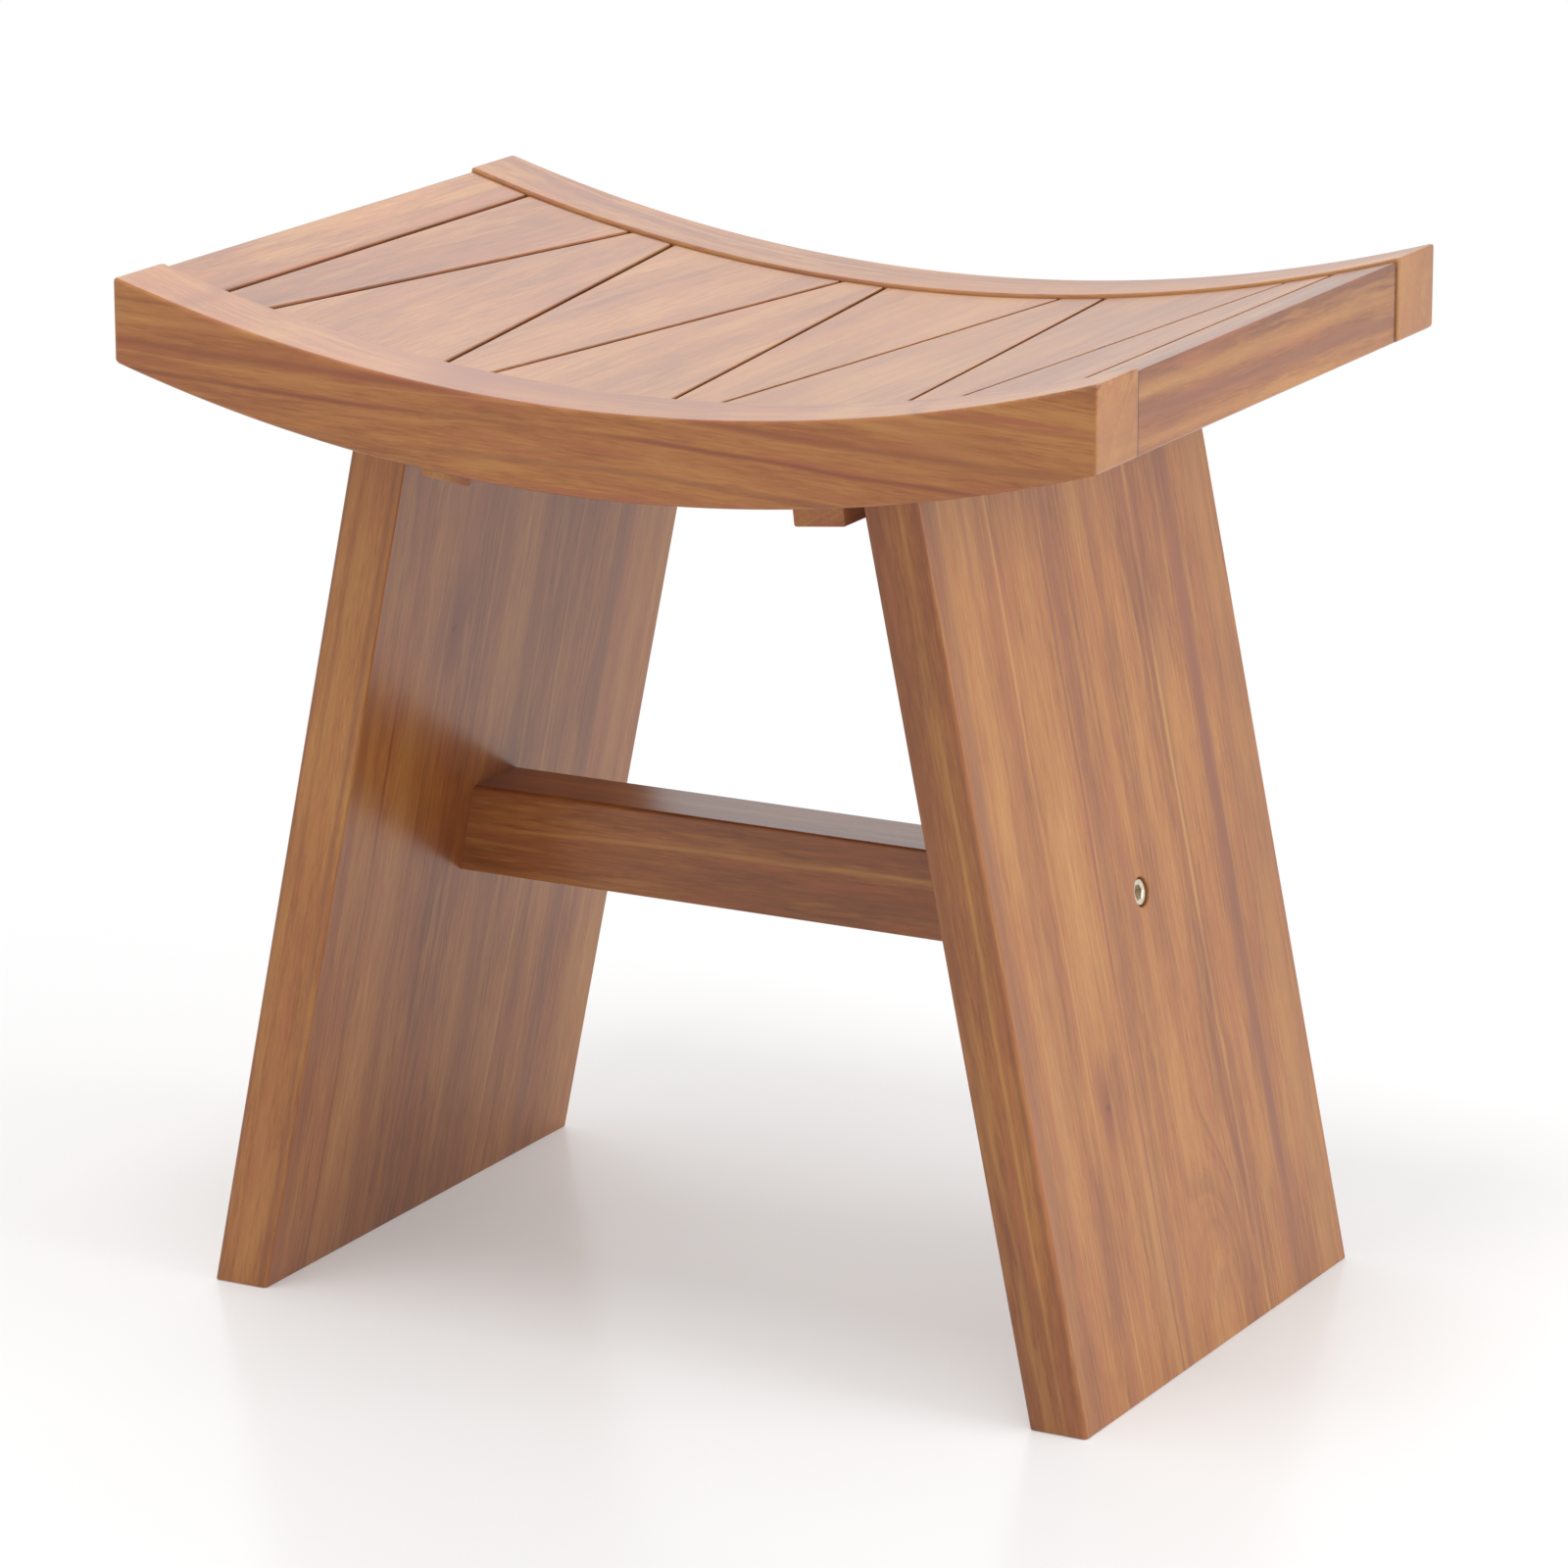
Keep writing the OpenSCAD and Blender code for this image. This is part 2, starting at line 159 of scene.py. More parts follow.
# The seat's arc; every curved face is a copy of it, lowered by a drop
ARC_R = (HALF_L ** 2 + SEAT_DIP ** 2) / (2 * SEAT_DIP)
ARC_Z = SEAT_H - SEAT_DIP + ARC_R
SLAT_UNDER = RAIL_PROUD + SLAT_T
TONGUE_TOP = RAIL_PROUD + (SLAT_T - TONGUE_T) / 2
TONGUE_UNDER = TONGUE_TOP + TONGUE_T
SHOULDER_Y = INNER_HALF - PLAY
FIELD_HALF = END_INNER - SLAT_GAP / 2
SLAT_WIDE = (2 * FIELD_HALF - SLAT_NARROW * (SLAT_COUNT + 1) / 2) * 2 / (SLAT_COUNT - 1)


def seat_z(x, drop=0.0):
    """Height of the seat's arc at x, lowered by a drop."""
    return ARC_Z - drop - math.sqrt(ARC_R ** 2 - x ** 2)


def joint_x(i, y):
    """Place of the open joint after slat i, at depth y: it runs straight from front to rear."""
    def front(k):
        if k == SLAT_COUNT:
            return FIELD_HALF
        return -FIELD_HALF + math.ceil(k / 2) * SLAT_NARROW + (k // 2) * SLAT_WIDE
    rear = -front(SLAT_COUNT - i)
    return front(i) + (rear - front(i)) * (y + INNER_HALF) / (2 * INNER_HALF)


def leg_outer(z):
    return FOOT_X - z * math.tan(LEG_LEAN)


def leg_inner(z):
    return leg_outer(z) - LEG_T / math.cos(LEG_LEAN)


def under_seat(face_x, drop):
    """Where a leg's face meets the underside that lies one drop below the arc."""
    z = SEAT_H
    for _ in range(MEET_STEPS):
        z = seat_z(face_x(z), drop)
    return Vector((face_x(z), 0, z))


ALONG_X = Vector((1, 0, 0))
ALONG_Y = Vector((0, 1, 0))
ALONG_Z = Vector((0, 0, 1))

# Directions of the right leg: up along it, and square out of it
LEG_UP = Vector((-math.sin(LEG_LEAN), 0, math.cos(LEG_LEAN)))
LEG_OUT = Vector((math.cos(LEG_LEAN), 0, math.sin(LEG_LEAN)))
LEG_TOP = under_seat(leg_inner, SLAT_UNDER)

# Directions of the right batten, which stands square to the slats
BATTEN_X = LEG_TOP.x - BATTEN_GAP - BATTEN_W / 2
BATTEN_TILT = math.asin(BATTEN_X / ARC_R)
BATTEN_TOP = Vector((BATTEN_X, 0, seat_z(BATTEN_X, SLAT_UNDER)))
BATTEN_OUT = Vector((math.cos(BATTEN_TILT), 0, math.sin(BATTEN_TILT)))
BATTEN_UP = Vector((-math.sin(BATTEN_TILT), 0, math.cos(BATTEN_TILT)))

# Fastenings of the right end
NUT_AT = Vector((leg_inner(STRETCHER_MID) - NUT_INSET / math.cos(LEG_LEAN), 0, STRETCHER_MID))
HEAD_TOP = NUT_INSET + LEG_T - HEAD_SUNK
LEG_BOLT_Z = LEG_TOP.z - LEG_BOLT_DROP
LEG_BOLT_GRIP = BATTEN_GAP + BATTEN_W / 2
LEG_BOLT_REACH = INSERT_L - END_ROOM
DOWEL_IN_STRETCHER = NUT_INSET - NUT_D / 2 - END_ROOM
DOWEL_Y = (STRETCHER_HIGH.y - STRETCHER_LOW.y + BOLT_D) / 4
SCREW_YS = [row * 2 * INNER_HALF for row in SCREW_ROWS]


def leg_bolt_at(side):
    """Where a leg bolt crosses the right leg's inner face; side is -1 front, 1 rear."""
    return Vector((leg_inner(LEG_BOLT_Z), side * LEG_BOLT_PITCH / 2, LEG_BOLT_Z))


# ---------------------------------------------------------------- shaping
def plank(low, high):
    """A squared board between two corners."""
    bm = bmesh.new()
    bmesh.ops.create_cube(bm, size=1.0)
    low, high = Vector(low), Vector(high)
    bmesh.ops.scale(bm, vec=high - low, verts=bm.verts)
    bmesh.ops.translate(bm, vec=(low + high) / 2, verts=bm.verts)
    return bm


def ease(bm, radius, steps, chosen):
    """Rounds over the edges that the test picks by their two ends."""
    edges = [e for e in bm.edges if chosen(e.verts[0].co, e.verts[1].co)]
    bmesh.ops.bevel(
        bm, geom=edges, offset=radius, offset_type="OFFSET", affect="EDGES",
        segments=steps, profile=0.5, material=-1,
    )


def near(a, b):
    return abs(a - b) < SAME_PLACE


def face_at(bm, point, normal):
    """The flat face that looks along the normal and holds the point."""
    bm.normal_update()
    for face in bm.faces:
        height = (point - face.verts[0].co).dot(normal)
        if face.normal.dot(normal) > SAME_WAY and abs(height) < SAME_FACE:
            if bmesh.geometry.intersect_face_point(face, point):
                return face
    raise ValueError(f"no face at {point}")


def patch(bm, point, normal, cuts):
    """Frees a patch of a flat face round a point; each cut is a plane's place and normal."""
    for place, facing in cuts:
        face = face_at(bm, point, normal)
        bmesh.ops.bisect_plane(
            bm, geom=[face, *face.edges, *face.verts], dist=CUT_SNAP, plane_co=place,
            plane_no=facing,
        )
    return face_at(bm, point, normal)


def window(centre, width, height):
    """Cuts for an upright oblong on a face that looks to the front or rear."""
    return [
        (centre + ALONG_Z * height / 2, ALONG_Z), (centre - ALONG_Z * height / 2, ALONG_Z),
        (centre + ALONG_X * width / 2, ALONG_X), (centre - ALONG_X * width / 2, ALONG_X),
    ]


def push(bm, face, way):
    """Extrudes one face, out into a tongue or in to a mortise."""
    face = bmesh.ops.extrude_discrete_faces(bm, faces=[face])["faces"][0]
    bmesh.ops.translate(bm, vec=way, verts=face.verts)


def drill(bm, centre, normal, bores, axis=None):
    """Drills a stepped hole into a flat face; bores are (diameter, depth), the widest first.
    The hole runs against the axis, or square to the face where none is given."""
    axis = axis or normal
    side = normal.orthogonal().normalized() if near(abs(normal.y), 1) else ALONG_Y
    up = normal.cross(side)
    reach = bores[0][0] * HOLE_PATCH
    cuts = [(centre + way * reach, way) for way in (side, up, -side, -up)]
    face = patch(bm, centre, normal, cuts)
    bmesh.ops.bisect_edges(bm, edges=face.edges[:], cuts=HOLE_SIDES // 4 - 1)
    bmesh.ops.inset_individual(bm, faces=[face], thickness=reach * HOLE_PATCH_EDGE)
    spoke = (face.verts[0].co - centre).normalized()

    def ring(radius, depth):
        for k, vert in enumerate(face.verts):
            way = Matrix.Rotation(k * math.tau / len(face.verts), 3, normal) @ spoke
            vert.co = centre + way * radius - axis * depth

    ring(bores[0][0] / 2 + RIM, 0)
    depth = RIM
    for diameter, end in bores:
        for level in (depth, end):
            face = bmesh.ops.extrude_discrete_faces(bm, faces=[face])["faces"][0]
            ring(diameter / 2, level)
        depth = end


def slice_across_x(bm):
    """Cuts a board every few millimetres along X, so that it can follow the arc."""
    count = math.ceil(HALF_L / SLICE)
    for k in range(-count, count + 1):
        geom = [*bm.verts, *bm.edges, *bm.faces]
        bmesh.ops.bisect_plane(
            bm, geom=geom, dist=SAME_PLACE, plane_co=(k * SLICE, 0, 0), plane_no=ALONG_X
        )


def bend(bm):
    """Bends a straight board, drawn with its drops as negative heights, to the seat's arc."""
    slice_across_x(bm)
    for vert in bm.verts:
        vert.co.z += seat_z(vert.co.x)


# ---------------------------------------------------------------- finished pieces
def as_mesh(bm, name):
    mesh = bpy.data.meshes.new(name)
    bm.to_mesh(mesh)
    bm.free()
    return mesh


def add_object(name, data):
    made = bpy.data.objects.new(name, data)
    bpy.context.scene.collection.objects.link(made)
    return made


def piece(bm, name, nodes, material, mirrored=False):
    """Makes a finished piece, at the origin, in place of its CAD nodes."""
    if mirrored:
        bmesh.ops.scale(bm, vec=(-1, 1, 1), verts=bm.verts)
        bmesh.ops.reverse_faces(bm, faces=bm.faces)
    bm.normal_update()
    for face in bm.faces:
        face.smooth = True
    for edge in bm.edges:
        edge.smooth = edge.calc_face_angle(0) < SHARP
    mesh = as_mesh(bm, name)
    mesh.materials.append(material)
    made = add_object(name, mesh)
    made.modifiers.new("even_shading", "WEIGHTED_NORMAL").keep_sharp = True
    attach(made, "root")
    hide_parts(*nodes)


# ---------------------------------------------------------------- woodwork
def end_middle():
    """Middle of an end rail's section, with its drop as a negative height."""
    return (END_INNER + END_OUTER) / 2, -(RAIL_H + RAIL_PROUD) / 2


def curved_rail(side):
    """A curved rail, grooved and mortised on its inner face; side is -1 front, 1 rear."""
    y_inner, y_outer = side * INNER_HALF, side * HALF_W
    bm = plank((-HALF_L, min(y_inner, y_outer), -RAIL_H), (HALF_L, max(y_inner, y_outer), 0))
    ease(bm, RAIL_ROUND, ROUND_STEPS, lambda a, b: not near(a.x, b.x))
    ease(bm, RAIL_END_EASE, EASE_STEPS, lambda a, b: near(abs(a.x), HALF_L) and near(a.x, b.x))
    inward = Vector((0, -side, 0))
    groove = Vector((0, y_inner, -(TONGUE_TOP + TONGUE_UNDER) / 2))
    cuts = window(groove, 2 * END_INNER, TONGUE_T + 2 * PLAY)
    push(bm, patch(bm, groove, inward, cuts), -inward * (TONGUE_L + PLAY))
    x_mid, z_mid = end_middle()
    for end in (-1, 1):
        mortise = Vector((end * x_mid, y_inner, z_mid))
        cuts = window(mortise, TENON_T + 2 * PLAY, TENON_H + 2 * PLAY)
        push(bm, patch(bm, mortise, inward, cuts), -inward * (TENON_L + PLAY))
    bend(bm)
    return bm


def end_rail():
    """The right end rail, with a tenon at each end."""
    bm = plank((END_INNER, -INNER_HALF, -RAIL_H), (END_OUTER, INNER_HALF, -RAIL_PROUD))
    ease(bm, RAIL_ROUND / 2, EASE_STEPS, lambda a, b: not near(a.y, b.y))
    ease(bm, FINE_EASE, 1, lambda a, b: near(abs(a.y), INNER_HALF) and near(a.y, b.y))
    x_mid, z_mid = end_middle()
    for side in (-1, 1):
        outward = Vector((0, side, 0))
        root = Vector((x_mid, side * INNER_HALF, z_mid))
        push(bm, patch(bm, root, outward, window(root, TENON_T, TENON_H)), outward * TENON_L)
    bend(bm)
    return bm


def slat(i):
    """Slat i: a tapered board with eased edges, and a tongue at each end."""
    bm = plank((0, -SHOULDER_Y, -SLAT_UNDER), (1, SHOULDER_Y, -RAIL_PROUD))
    for side in (-1, 1):
        outward = Vector((0, side, 0))
        middle = Vector((0.5, side * SHOULDER_Y, -(TONGUE_TOP + TONGUE_UNDER) / 2))
        cuts = [(ALONG_Z * -TONGUE_TOP, ALONG_Z), (ALONG_Z * -TONGUE_UNDER, ALONG_Z)]
        push(bm, patch(bm, middle, outward, cuts), outward * (TONGUE_L + PLAY))
    for vert in bm.verts:
        left = joint_x(i - 1, vert.co.y) + SLAT_GAP / 2
        right = joint_x(i, vert.co.y) - SLAT_GAP / 2
        vert.co.x = left + (right - left) * vert.co.x
    ease(bm, SLAT_EASE, EASE_STEPS, lambda a, b: near(a.z, b.z) and near(a.z, -RAIL_PROUD))
    ease(bm, SLAT_EASE, 1, lambda a, b: near(a.z, b.z) and near(a.z, -SLAT_UNDER))
    bend(bm)
    return bm


def shouldered_panel(place):
    """A panel with a shoulder at each side of its top. place gives each corner from the
    face it is on, 0 or 1, its y, and its level: 0 foot, 1 shoulder, 2 top."""
    outline = [
        (-LEG_HALF_W, 0), (LEG_HALF_W, 0), (LEG_HALF_W, 1), (SHOULDER_Y, 1),
        (SHOULDER_Y, 2), (-SHOULDER_Y, 2), (-SHOULDER_Y, 1), (-LEG_HALF_W, 1),
    ]
    bm = bmesh.new()
    face = bm.faces.new([bm.verts.new((0, y, level)) for y, level in outline])
    grown = bmesh.ops.extrude_face_region(bm, geom=[face])["geom"]
    corners = [v for v in grown if isinstance(v, bmesh.types.BMVert)]
    bmesh.ops.translate(bm, vec=ALONG_X, verts=corners)
    for vert in bm.verts:
        vert.co = place(round(vert.co.x), vert.co.y, round(vert.co.z))
    bmesh.ops.recalc_face_normals(bm, faces=bm.faces)
    return bm


def leg():
    """The right leg, with its long edges and its foot eased, and its holes drilled."""
    def place(outer, y, level):
        face_x = leg_outer if outer else leg_inner
        if level == 0:
            return Vector((face_x(0), y, 0))
        z = under_seat(face_x, RAIL_H if level == 1 else SLAT_UNDER).z - PLAY
        return Vector((face_x(z), y, z))

    bm = shouldered_panel(place)
    ease(bm, LEG_ROUND, ROUND_STEPS,
         lambda a, b: near(abs(a.y), LEG_HALF_W) and near(a.y, b.y) and abs(a.z - b.z) > LEG_T)
    ease(bm, FINE_EASE, EASE_STEPS, lambda a, b: near(a.z, 0) and near(b.z, 0))
    hub = NUT_AT + LEG_OUT * (NUT_INSET + LEG_T)
    counterbore = (HEAD_D + 3 * HOLE_PLAY, HEAD_H + HEAD_SUNK)
    drill(bm, hub, LEG_OUT, [counterbore, (BOLT_D + 2 * HOLE_PLAY, LEG_T - PLAY)])
    for side in (-1, 1):
        dowel = NUT_AT + LEG_OUT * NUT_INSET + ALONG_Y * side * DOWEL_Y
        drill(bm, dowel, -LEG_OUT, [(DOWEL_D + 2 * PLAY, DOWEL_IN_LEG + PLAY)])
        insert = (INSERT_D + 2 * HOLE_PLAY, INSERT_L + HOLE_PLAY)
        drill(bm, leg_bolt_at(side), -LEG_OUT, [insert])
    return bm


def batten():
    """The right batten, with its screw holes from below and its bolt holes from inside."""
    shoulder = (RAIL_H + BATTEN_SHOULDER_GAP - SLAT_UNDER) * math.cos(BATTEN_TILT)
    drops = [BATTEN_H, shoulder, 0]

    def place(outer, y, level):
        across = BATTEN_OUT * BATTEN_W * (0.5 if outer else -0.5)
        return BATTEN_TOP + across - BATTEN_UP * drops[level] + ALONG_Y * y

    bm = shouldered_panel(place)
    foot = (BATTEN_TOP - BATTEN_UP * BATTEN_H).dot(BATTEN_UP)
    ease(bm, FINE_EASE * 2, EASE_STEPS,
         lambda a, b: near(a.dot(BATTEN_UP), foot) and near(b.dot(BATTEN_UP), foot))
    head_hole = (SCREW_HEAD_D + 2 * HOLE_PLAY, SCREW_SUNK)
    shank_hole = (SCREW_D + 2 * HOLE_PLAY, BATTEN_H - PLAY)
    for y in SCREW_YS:
        centre = BATTEN_TOP - BATTEN_UP * BATTEN_H + ALONG_Y * y
        drill(bm, centre, -BATTEN_UP, [head_hole, shank_hole])
    for side in (-1, 1):
        start = leg_bolt_at(side)
        inner_face = BATTEN_TOP - BATTEN_OUT * BATTEN_W / 2
        run = (start - inner_face).dot(BATTEN_OUT) / LEG_OUT.dot(BATTEN_OUT)
        bolt_hole = (LEG_HEAD_D + 2 * HOLE_PLAY, run - LEG_BOLT_GRIP)
        drill(bm, start - LEG_OUT * run, -BATTEN_OUT, [bolt_hole], axis=-LEG_OUT)
    return bm


def stretcher():
    """The stretcher, its ends cut to the legs' lean, its long edges rounded."""
    bm = plank(STRETCHER_LOW, STRETCHER_HIGH)
    for vert in bm.verts:
        vert.co.x = math.copysign(leg_inner(vert.co.z), vert.co.x)
    ease(bm, STRETCHER_ROUND, ROUND_STEPS, lambda a, b: a.x * b.x < 0)
    for end in (-1, 1):
        nut = Vector((end * NUT_AT.x, 0, STRETCHER_MID))
        nut_hole = (NUT_D + 2 * HOLE_PLAY, STRETCHER_HIGH.y + NUT_L / 2 + HOLE_PLAY)
        drill(bm, nut + ALONG_Y * STRETCHER_HIGH.y, ALONG_Y, [nut_hole])
        out = Vector((end * LEG_OUT.x, 0, LEG_OUT.z))
        middle = nut + out * NUT_INSET
        bolt_hole = (BOLT_D + 2 * HOLE_PLAY, NUT_INSET - NUT_D / 2 - 2 * HOLE_PLAY)
        drill(bm, middle, out, [bolt_hole])
        for side in (-1, 1):
            dowel = middle + ALONG_Y * side * DOWEL_Y
            drill(bm, dowel, out, [(DOWEL_D + 2 * PLAY, DOWEL_IN_STRETCHER + PLAY)])
    return bm


# ---------------------------------------------------------------- hardware
def circle(radius):
    """Outline of a circle, as a radius for each angle."""
    return lambda angle: radius


def hexagon(width):
    """Outline of a hexagon of a width across its flats, as a radius for each angle."""
    return lambda angle: width / 2 / math.cos(angle % (math.pi / 3) - math.pi / 6)


def grow(bm, face, outline, height):
    """Extrudes a post's top face to a new outline and height."""
    face = bmesh.ops.extrude_discrete_faces(bm, faces=[face])["faces"][0]
    for vert in face.verts:
        angle = math.atan2(vert.co.y, vert.co.x)
        radius = outline(angle)
        vert.co = (radius * math.cos(angle), radius * math.sin(angle), height)
    return face


def turned(steps):
    """A turned post on Z, grown upwards through (radius, height) steps, and its top face."""
    bm = bmesh.new()
    (low_radius, low), (high_radius, high) = steps[:2]
    bmesh.ops.create_cone(
        bm, cap_ends=True, segments=POST_SIDES, radius1=low_radius, radius2=high_radius,
        depth=high - low, matrix=Matrix.Translation((0, 0, (low + high) / 2)),
    )
    bm.normal_update()
    face = max(bm.faces, key=lambda f: f.normal.z)
    for radius, height in steps[2:]:
        face = grow(bm, face, circle(radius), height)
    return bm, face


def socket_bolt(d, length, head_d, head_h, hex_w, socket_depth):
    """A socket-head bolt on Z from its tail at 0: chamfered tail and head, dished hexagon."""
    chamfer = head_d * HEAD_CHAMFER
    tail = d * TAIL_CHAMFER
    under_head = length - head_h
    bm, top = turned([
        (d / 2 - tail, 0), (d / 2, tail), (d / 2, under_head),
        (head_d / 2 - chamfer / 3, under_head), (head_d / 2, under_head + chamfer / 3),
        (head_d / 2, length - chamfer), (head_d / 2 - chamfer, length),
        (hex_w * SOCKET_MOUTH, length),
    ])
    top = grow(bm, top, hexagon(hex_w), length - hex_w * SOCKET_LEAD)
    top = grow(bm, top, hexagon(hex_w), length - socket_depth)
    grow(bm, top, circle(hex_w * SOCKET_POINT), length - socket_depth * SOCKET_DISH)
    return bm


def hex_screw():
    """A batten screw on Z from its tip at 0: a low head with a hexagon socket."""
    tip = SCREW_D / 4
    length = BATTEN_H - SCREW_SUNK + SCREW_BITE
    under_head = length - SCREW_HEAD_H
    bm, top = turned([
        (tip, 0), (SCREW_D / 2, tip * 3), (SCREW_D / 2, under_head),
        (SCREW_HEAD_D / 2, under_head), (SCREW_HEAD_D / 2, length - SCREW_HEAD_H / 2),
        (SCREW_HEAD_D * SCREW_HEAD_TOP, length), (SCREW_D / 2, length),
    ])
    socket = hexagon(SCREW_HEAD_D * SCREW_HEX)
    top = grow(bm, top, socket, length)
    grow(bm, top, socket, length - SCREW_HEAD_H * SCREW_HEX_DEPTH)
    return bm


def slotted_nut():
    """A barrel nut on Z from its front end at 0, with a slot across its rear end."""
    rim = NUT_D * NUT_CHAMFER
    bm, _ = turned([
        (NUT_D / 2 - rim, 0), (NUT_D / 2, rim), (NUT_D / 2, NUT_L - rim), (NUT_D / 2 - rim, NUT_L),
    ])
    middle = ALONG_Z * NUT_L
    cuts = [(middle + side * NUT_SLOT_W / 2, side) for side in (ALONG_X, -ALONG_X)]
    push(bm, patch(bm, middle, ALONG_Z, cuts), -ALONG_Z * NUT_SLOT_DEPTH)
    return bm


def at_both_ends(parts):
    """Joins (bmesh, matrix) parts of the right end in one bmesh, and mirrors them to the left."""
    whole = bmesh.new()
    for bm, matrix in parts:
        for side in (1, -1):
            copy = bm.copy()
            place = Matrix.Diagonal((side, 1, 1, 1)) @ matrix
            bmesh.ops.transform(copy, matrix=place, verts=copy.verts)
            if side < 0:
                bmesh.ops.reverse_faces(copy, faces=copy.faces)
            mesh = as_mesh(copy, "copy")
            whole.from_mesh(mesh)
            bpy.data.meshes.remove(mesh)
        bm.free()
    return whole


def lay(origin, along):
    """Matrix that takes a post on Z to an axis through a point."""
    return Matrix.Translation(origin) @ along.to_track_quat("Z", "Y").to_matrix().to_4x4()


def stretcher_bolts():
    bolt = socket_bolt(BOLT_D, HEAD_TOP + BOLT_TAIL, HEAD_D, HEAD_H, HEX_W, HEX_DEPTH)
    return at_both_ends([(bolt, lay(NUT_AT - LEG_OUT * BOLT_TAIL, LEG_OUT))])


def barrel_nuts():
    """Barrel nuts that lie from front to rear, with their slots along the bolts."""
    turn = Matrix((LEG_UP, LEG_OUT, ALONG_Y)).transposed().to_4x4()
    front_end = NUT_AT - ALONG_Y * NUT_L / 2
    return at_both_ends([(slotted_nut(), Matrix.Translation(front_end) @ turn)])


def leg_bolts():
    parts = []
    length = LEG_BOLT_REACH + LEG_BOLT_GRIP + LEG_HEAD_H
    for side in (-1, 1):
        bolt = socket_bolt(LEG_BOLT_D, length, LEG_HEAD_D, LEG_HEAD_H, LEG_HEX_W, LEG_HEAD_H / 2)
        parts.append((bolt, lay(leg_bolt_at(side) + LEG_OUT * LEG_BOLT_REACH, -LEG_OUT)))
    return at_both_ends(parts)


def batten_screws():
    """Screws up through the battens, their points in the slats."""
    point = BATTEN_TOP + BATTEN_UP * SCREW_BITE
    return at_both_ends([(hex_screw(), lay(point + ALONG_Y * y, -BATTEN_UP)) for y in SCREW_YS])


# ---------------------------------------------------------------- shader nodes
def make(tree, kind, inputs=None, **settings):
    """Adds a node, sets it, and fills or links its inputs."""
    made = tree.nodes.new(kind)
    for key, value in settings.items():
        setattr(made, key, value)
    for key, value in (inputs or {}).items():
        if isinstance(value, bpy.types.NodeSocket):
            tree.links.new(value, made.inputs[key])
        else:
            made.inputs[key].default_value = value
    return made


def calc(tree, operation, a, b=0.0, c=0.0):
    return make(tree, "ShaderNodeMath", {0: a, 1: b, 2: c}, operation=operation).outputs[0]


def vector(tree, operation, a, b=(0, 0, 0)):
    made = make(tree, "ShaderNodeVectorMath", {0: a, 1: b}, operation=operation)
    return made.outputs["Value" if operation == "LENGTH" else "Vector"]


def split(tree, where):
    return make(tree, "ShaderNodeSeparateXYZ", {0: where}).outputs


def join(tree, x, y, z=0.0):
    return make(tree, "ShaderNodeCombineXYZ", {"X": x, "Y": y, "Z": z}).outputs[0]


def noise(tree, where, detail, rough=0.5, colour=False):
    inputs = {"Vector": where, "Scale": 1.0, "Detail": detail, "Roughness": rough}
    made = make(tree, "ShaderNodeTexNoise", inputs, noise_dimensions="3D")
    return made.outputs["Color" if colour else "Fac"]


def fade(tree, value, start, end, low=0.0, high=1.0):
    """Smooth step of a value between two places."""
    inputs = {"Value": value, "From Min": start, "From Max": end, "To Min": low, "To Max": high}
    made = make(tree, "ShaderNodeMapRange", inputs, interpolation_type="SMOOTHSTEP")
    return made.outputs["Result"]


def close_to(tree, value, place, half, strength):
    """Full strength where a value meets a place, and none from half a width away on."""
    off = calc(tree, "ABSOLUTE", calc(tree, "SUBTRACT", value, place))
    return fade(tree, off, 0.0, half, strength, 0.0)


def tint(tree, amount, base, colour):
    """Mixes a colour over a base."""
    inputs = {0: amount, 6: base, 7: (*colour, 1)}
    return make(tree, "ShaderNodeMix", inputs, data_type="RGBA", blend_type="MIX").outputs[2]


def ramp(tree, value, stops):
    """Colour ramp from (place, colour) stops."""
    made = make(tree, "ShaderNodeValToRGB", {0: value})
    band = made.color_ramp
    while len(band.elements) < len(stops):
        band.elements.new(0.5)
    for element, (place, colour) in zip(band.elements, stops):
        element.position = place
        element.color = (*colour, 1)
    return made.outputs["Color"]


def new_material(name):
    """A material, its tree, its shader, and the place on the piece."""
    material = bpy.data.materials.new(name)
    material.use_nodes = True
    tree = material.node_tree
    spot = make(tree, "ShaderNodeTexCoord").outputs["Object"]
    return material, tree, tree.nodes["Principled BSDF"], spot


# ---------------------------------------------------------------- teak
UMBER = (0.205, 0.064, 0.022)
BROWN = (0.312, 0.104, 0.028)
HONEY = (0.425, 0.161, 0.039)
STRAW = (0.550, 0.256, 0.072)
MAUVE = (0.230, 0.074, 0.037)
RUST = (0.255, 0.068, 0.024)
ROSE = (0.400, 0.124, 0.046)
GOLD = (0.490, 0.222, 0.056)
YELLOW = (0.600, 0.310, 0.080)
END_GRAIN = (0.435, 0.190, 0.062)
KNOT = (0.150, 0.048, 0.018)
# Colour of the painted shade in the seat's gaps and by the curved rails
PAINTED_SHADE_COLOUR = (0.048, 0.016, 0.007)

# The grain's sway and its ripple: waves per metre along, across and through, and swing
SWAYS = (((3.0, 9, 9), 0.014), ((16.0, 40, 40), 0.0022))
SWAY_DETAIL = 1.5

# Textures of the wood: waves per metre along, across and through, detail and roughness
FIBRE = ((62, 850, 850), 3.0, 0.72)
CLOUD = ((9, 24, 24), 2.0, 0.5)
BLUSH = ((10, 110, 110), 4.0, 0.65)
PORES = ((85, 2300, 2300), 1.0, 0.5)

# Growth rings: changes per metre along the log, spacing, seed and detail
BANDS = (1.6, 0.026, 0.3, 1.0)
LINES = (6.0, 0.0060, 5.1, 3.0)
HAIRS = (24.0, 0.0019, 7.7, 2.0)
PURPLE_RINGS = (0.9, 0.040, 9.7, 1.0)
YELLOW_RINGS = (0.8, 0.021, 2.2, 1.0)

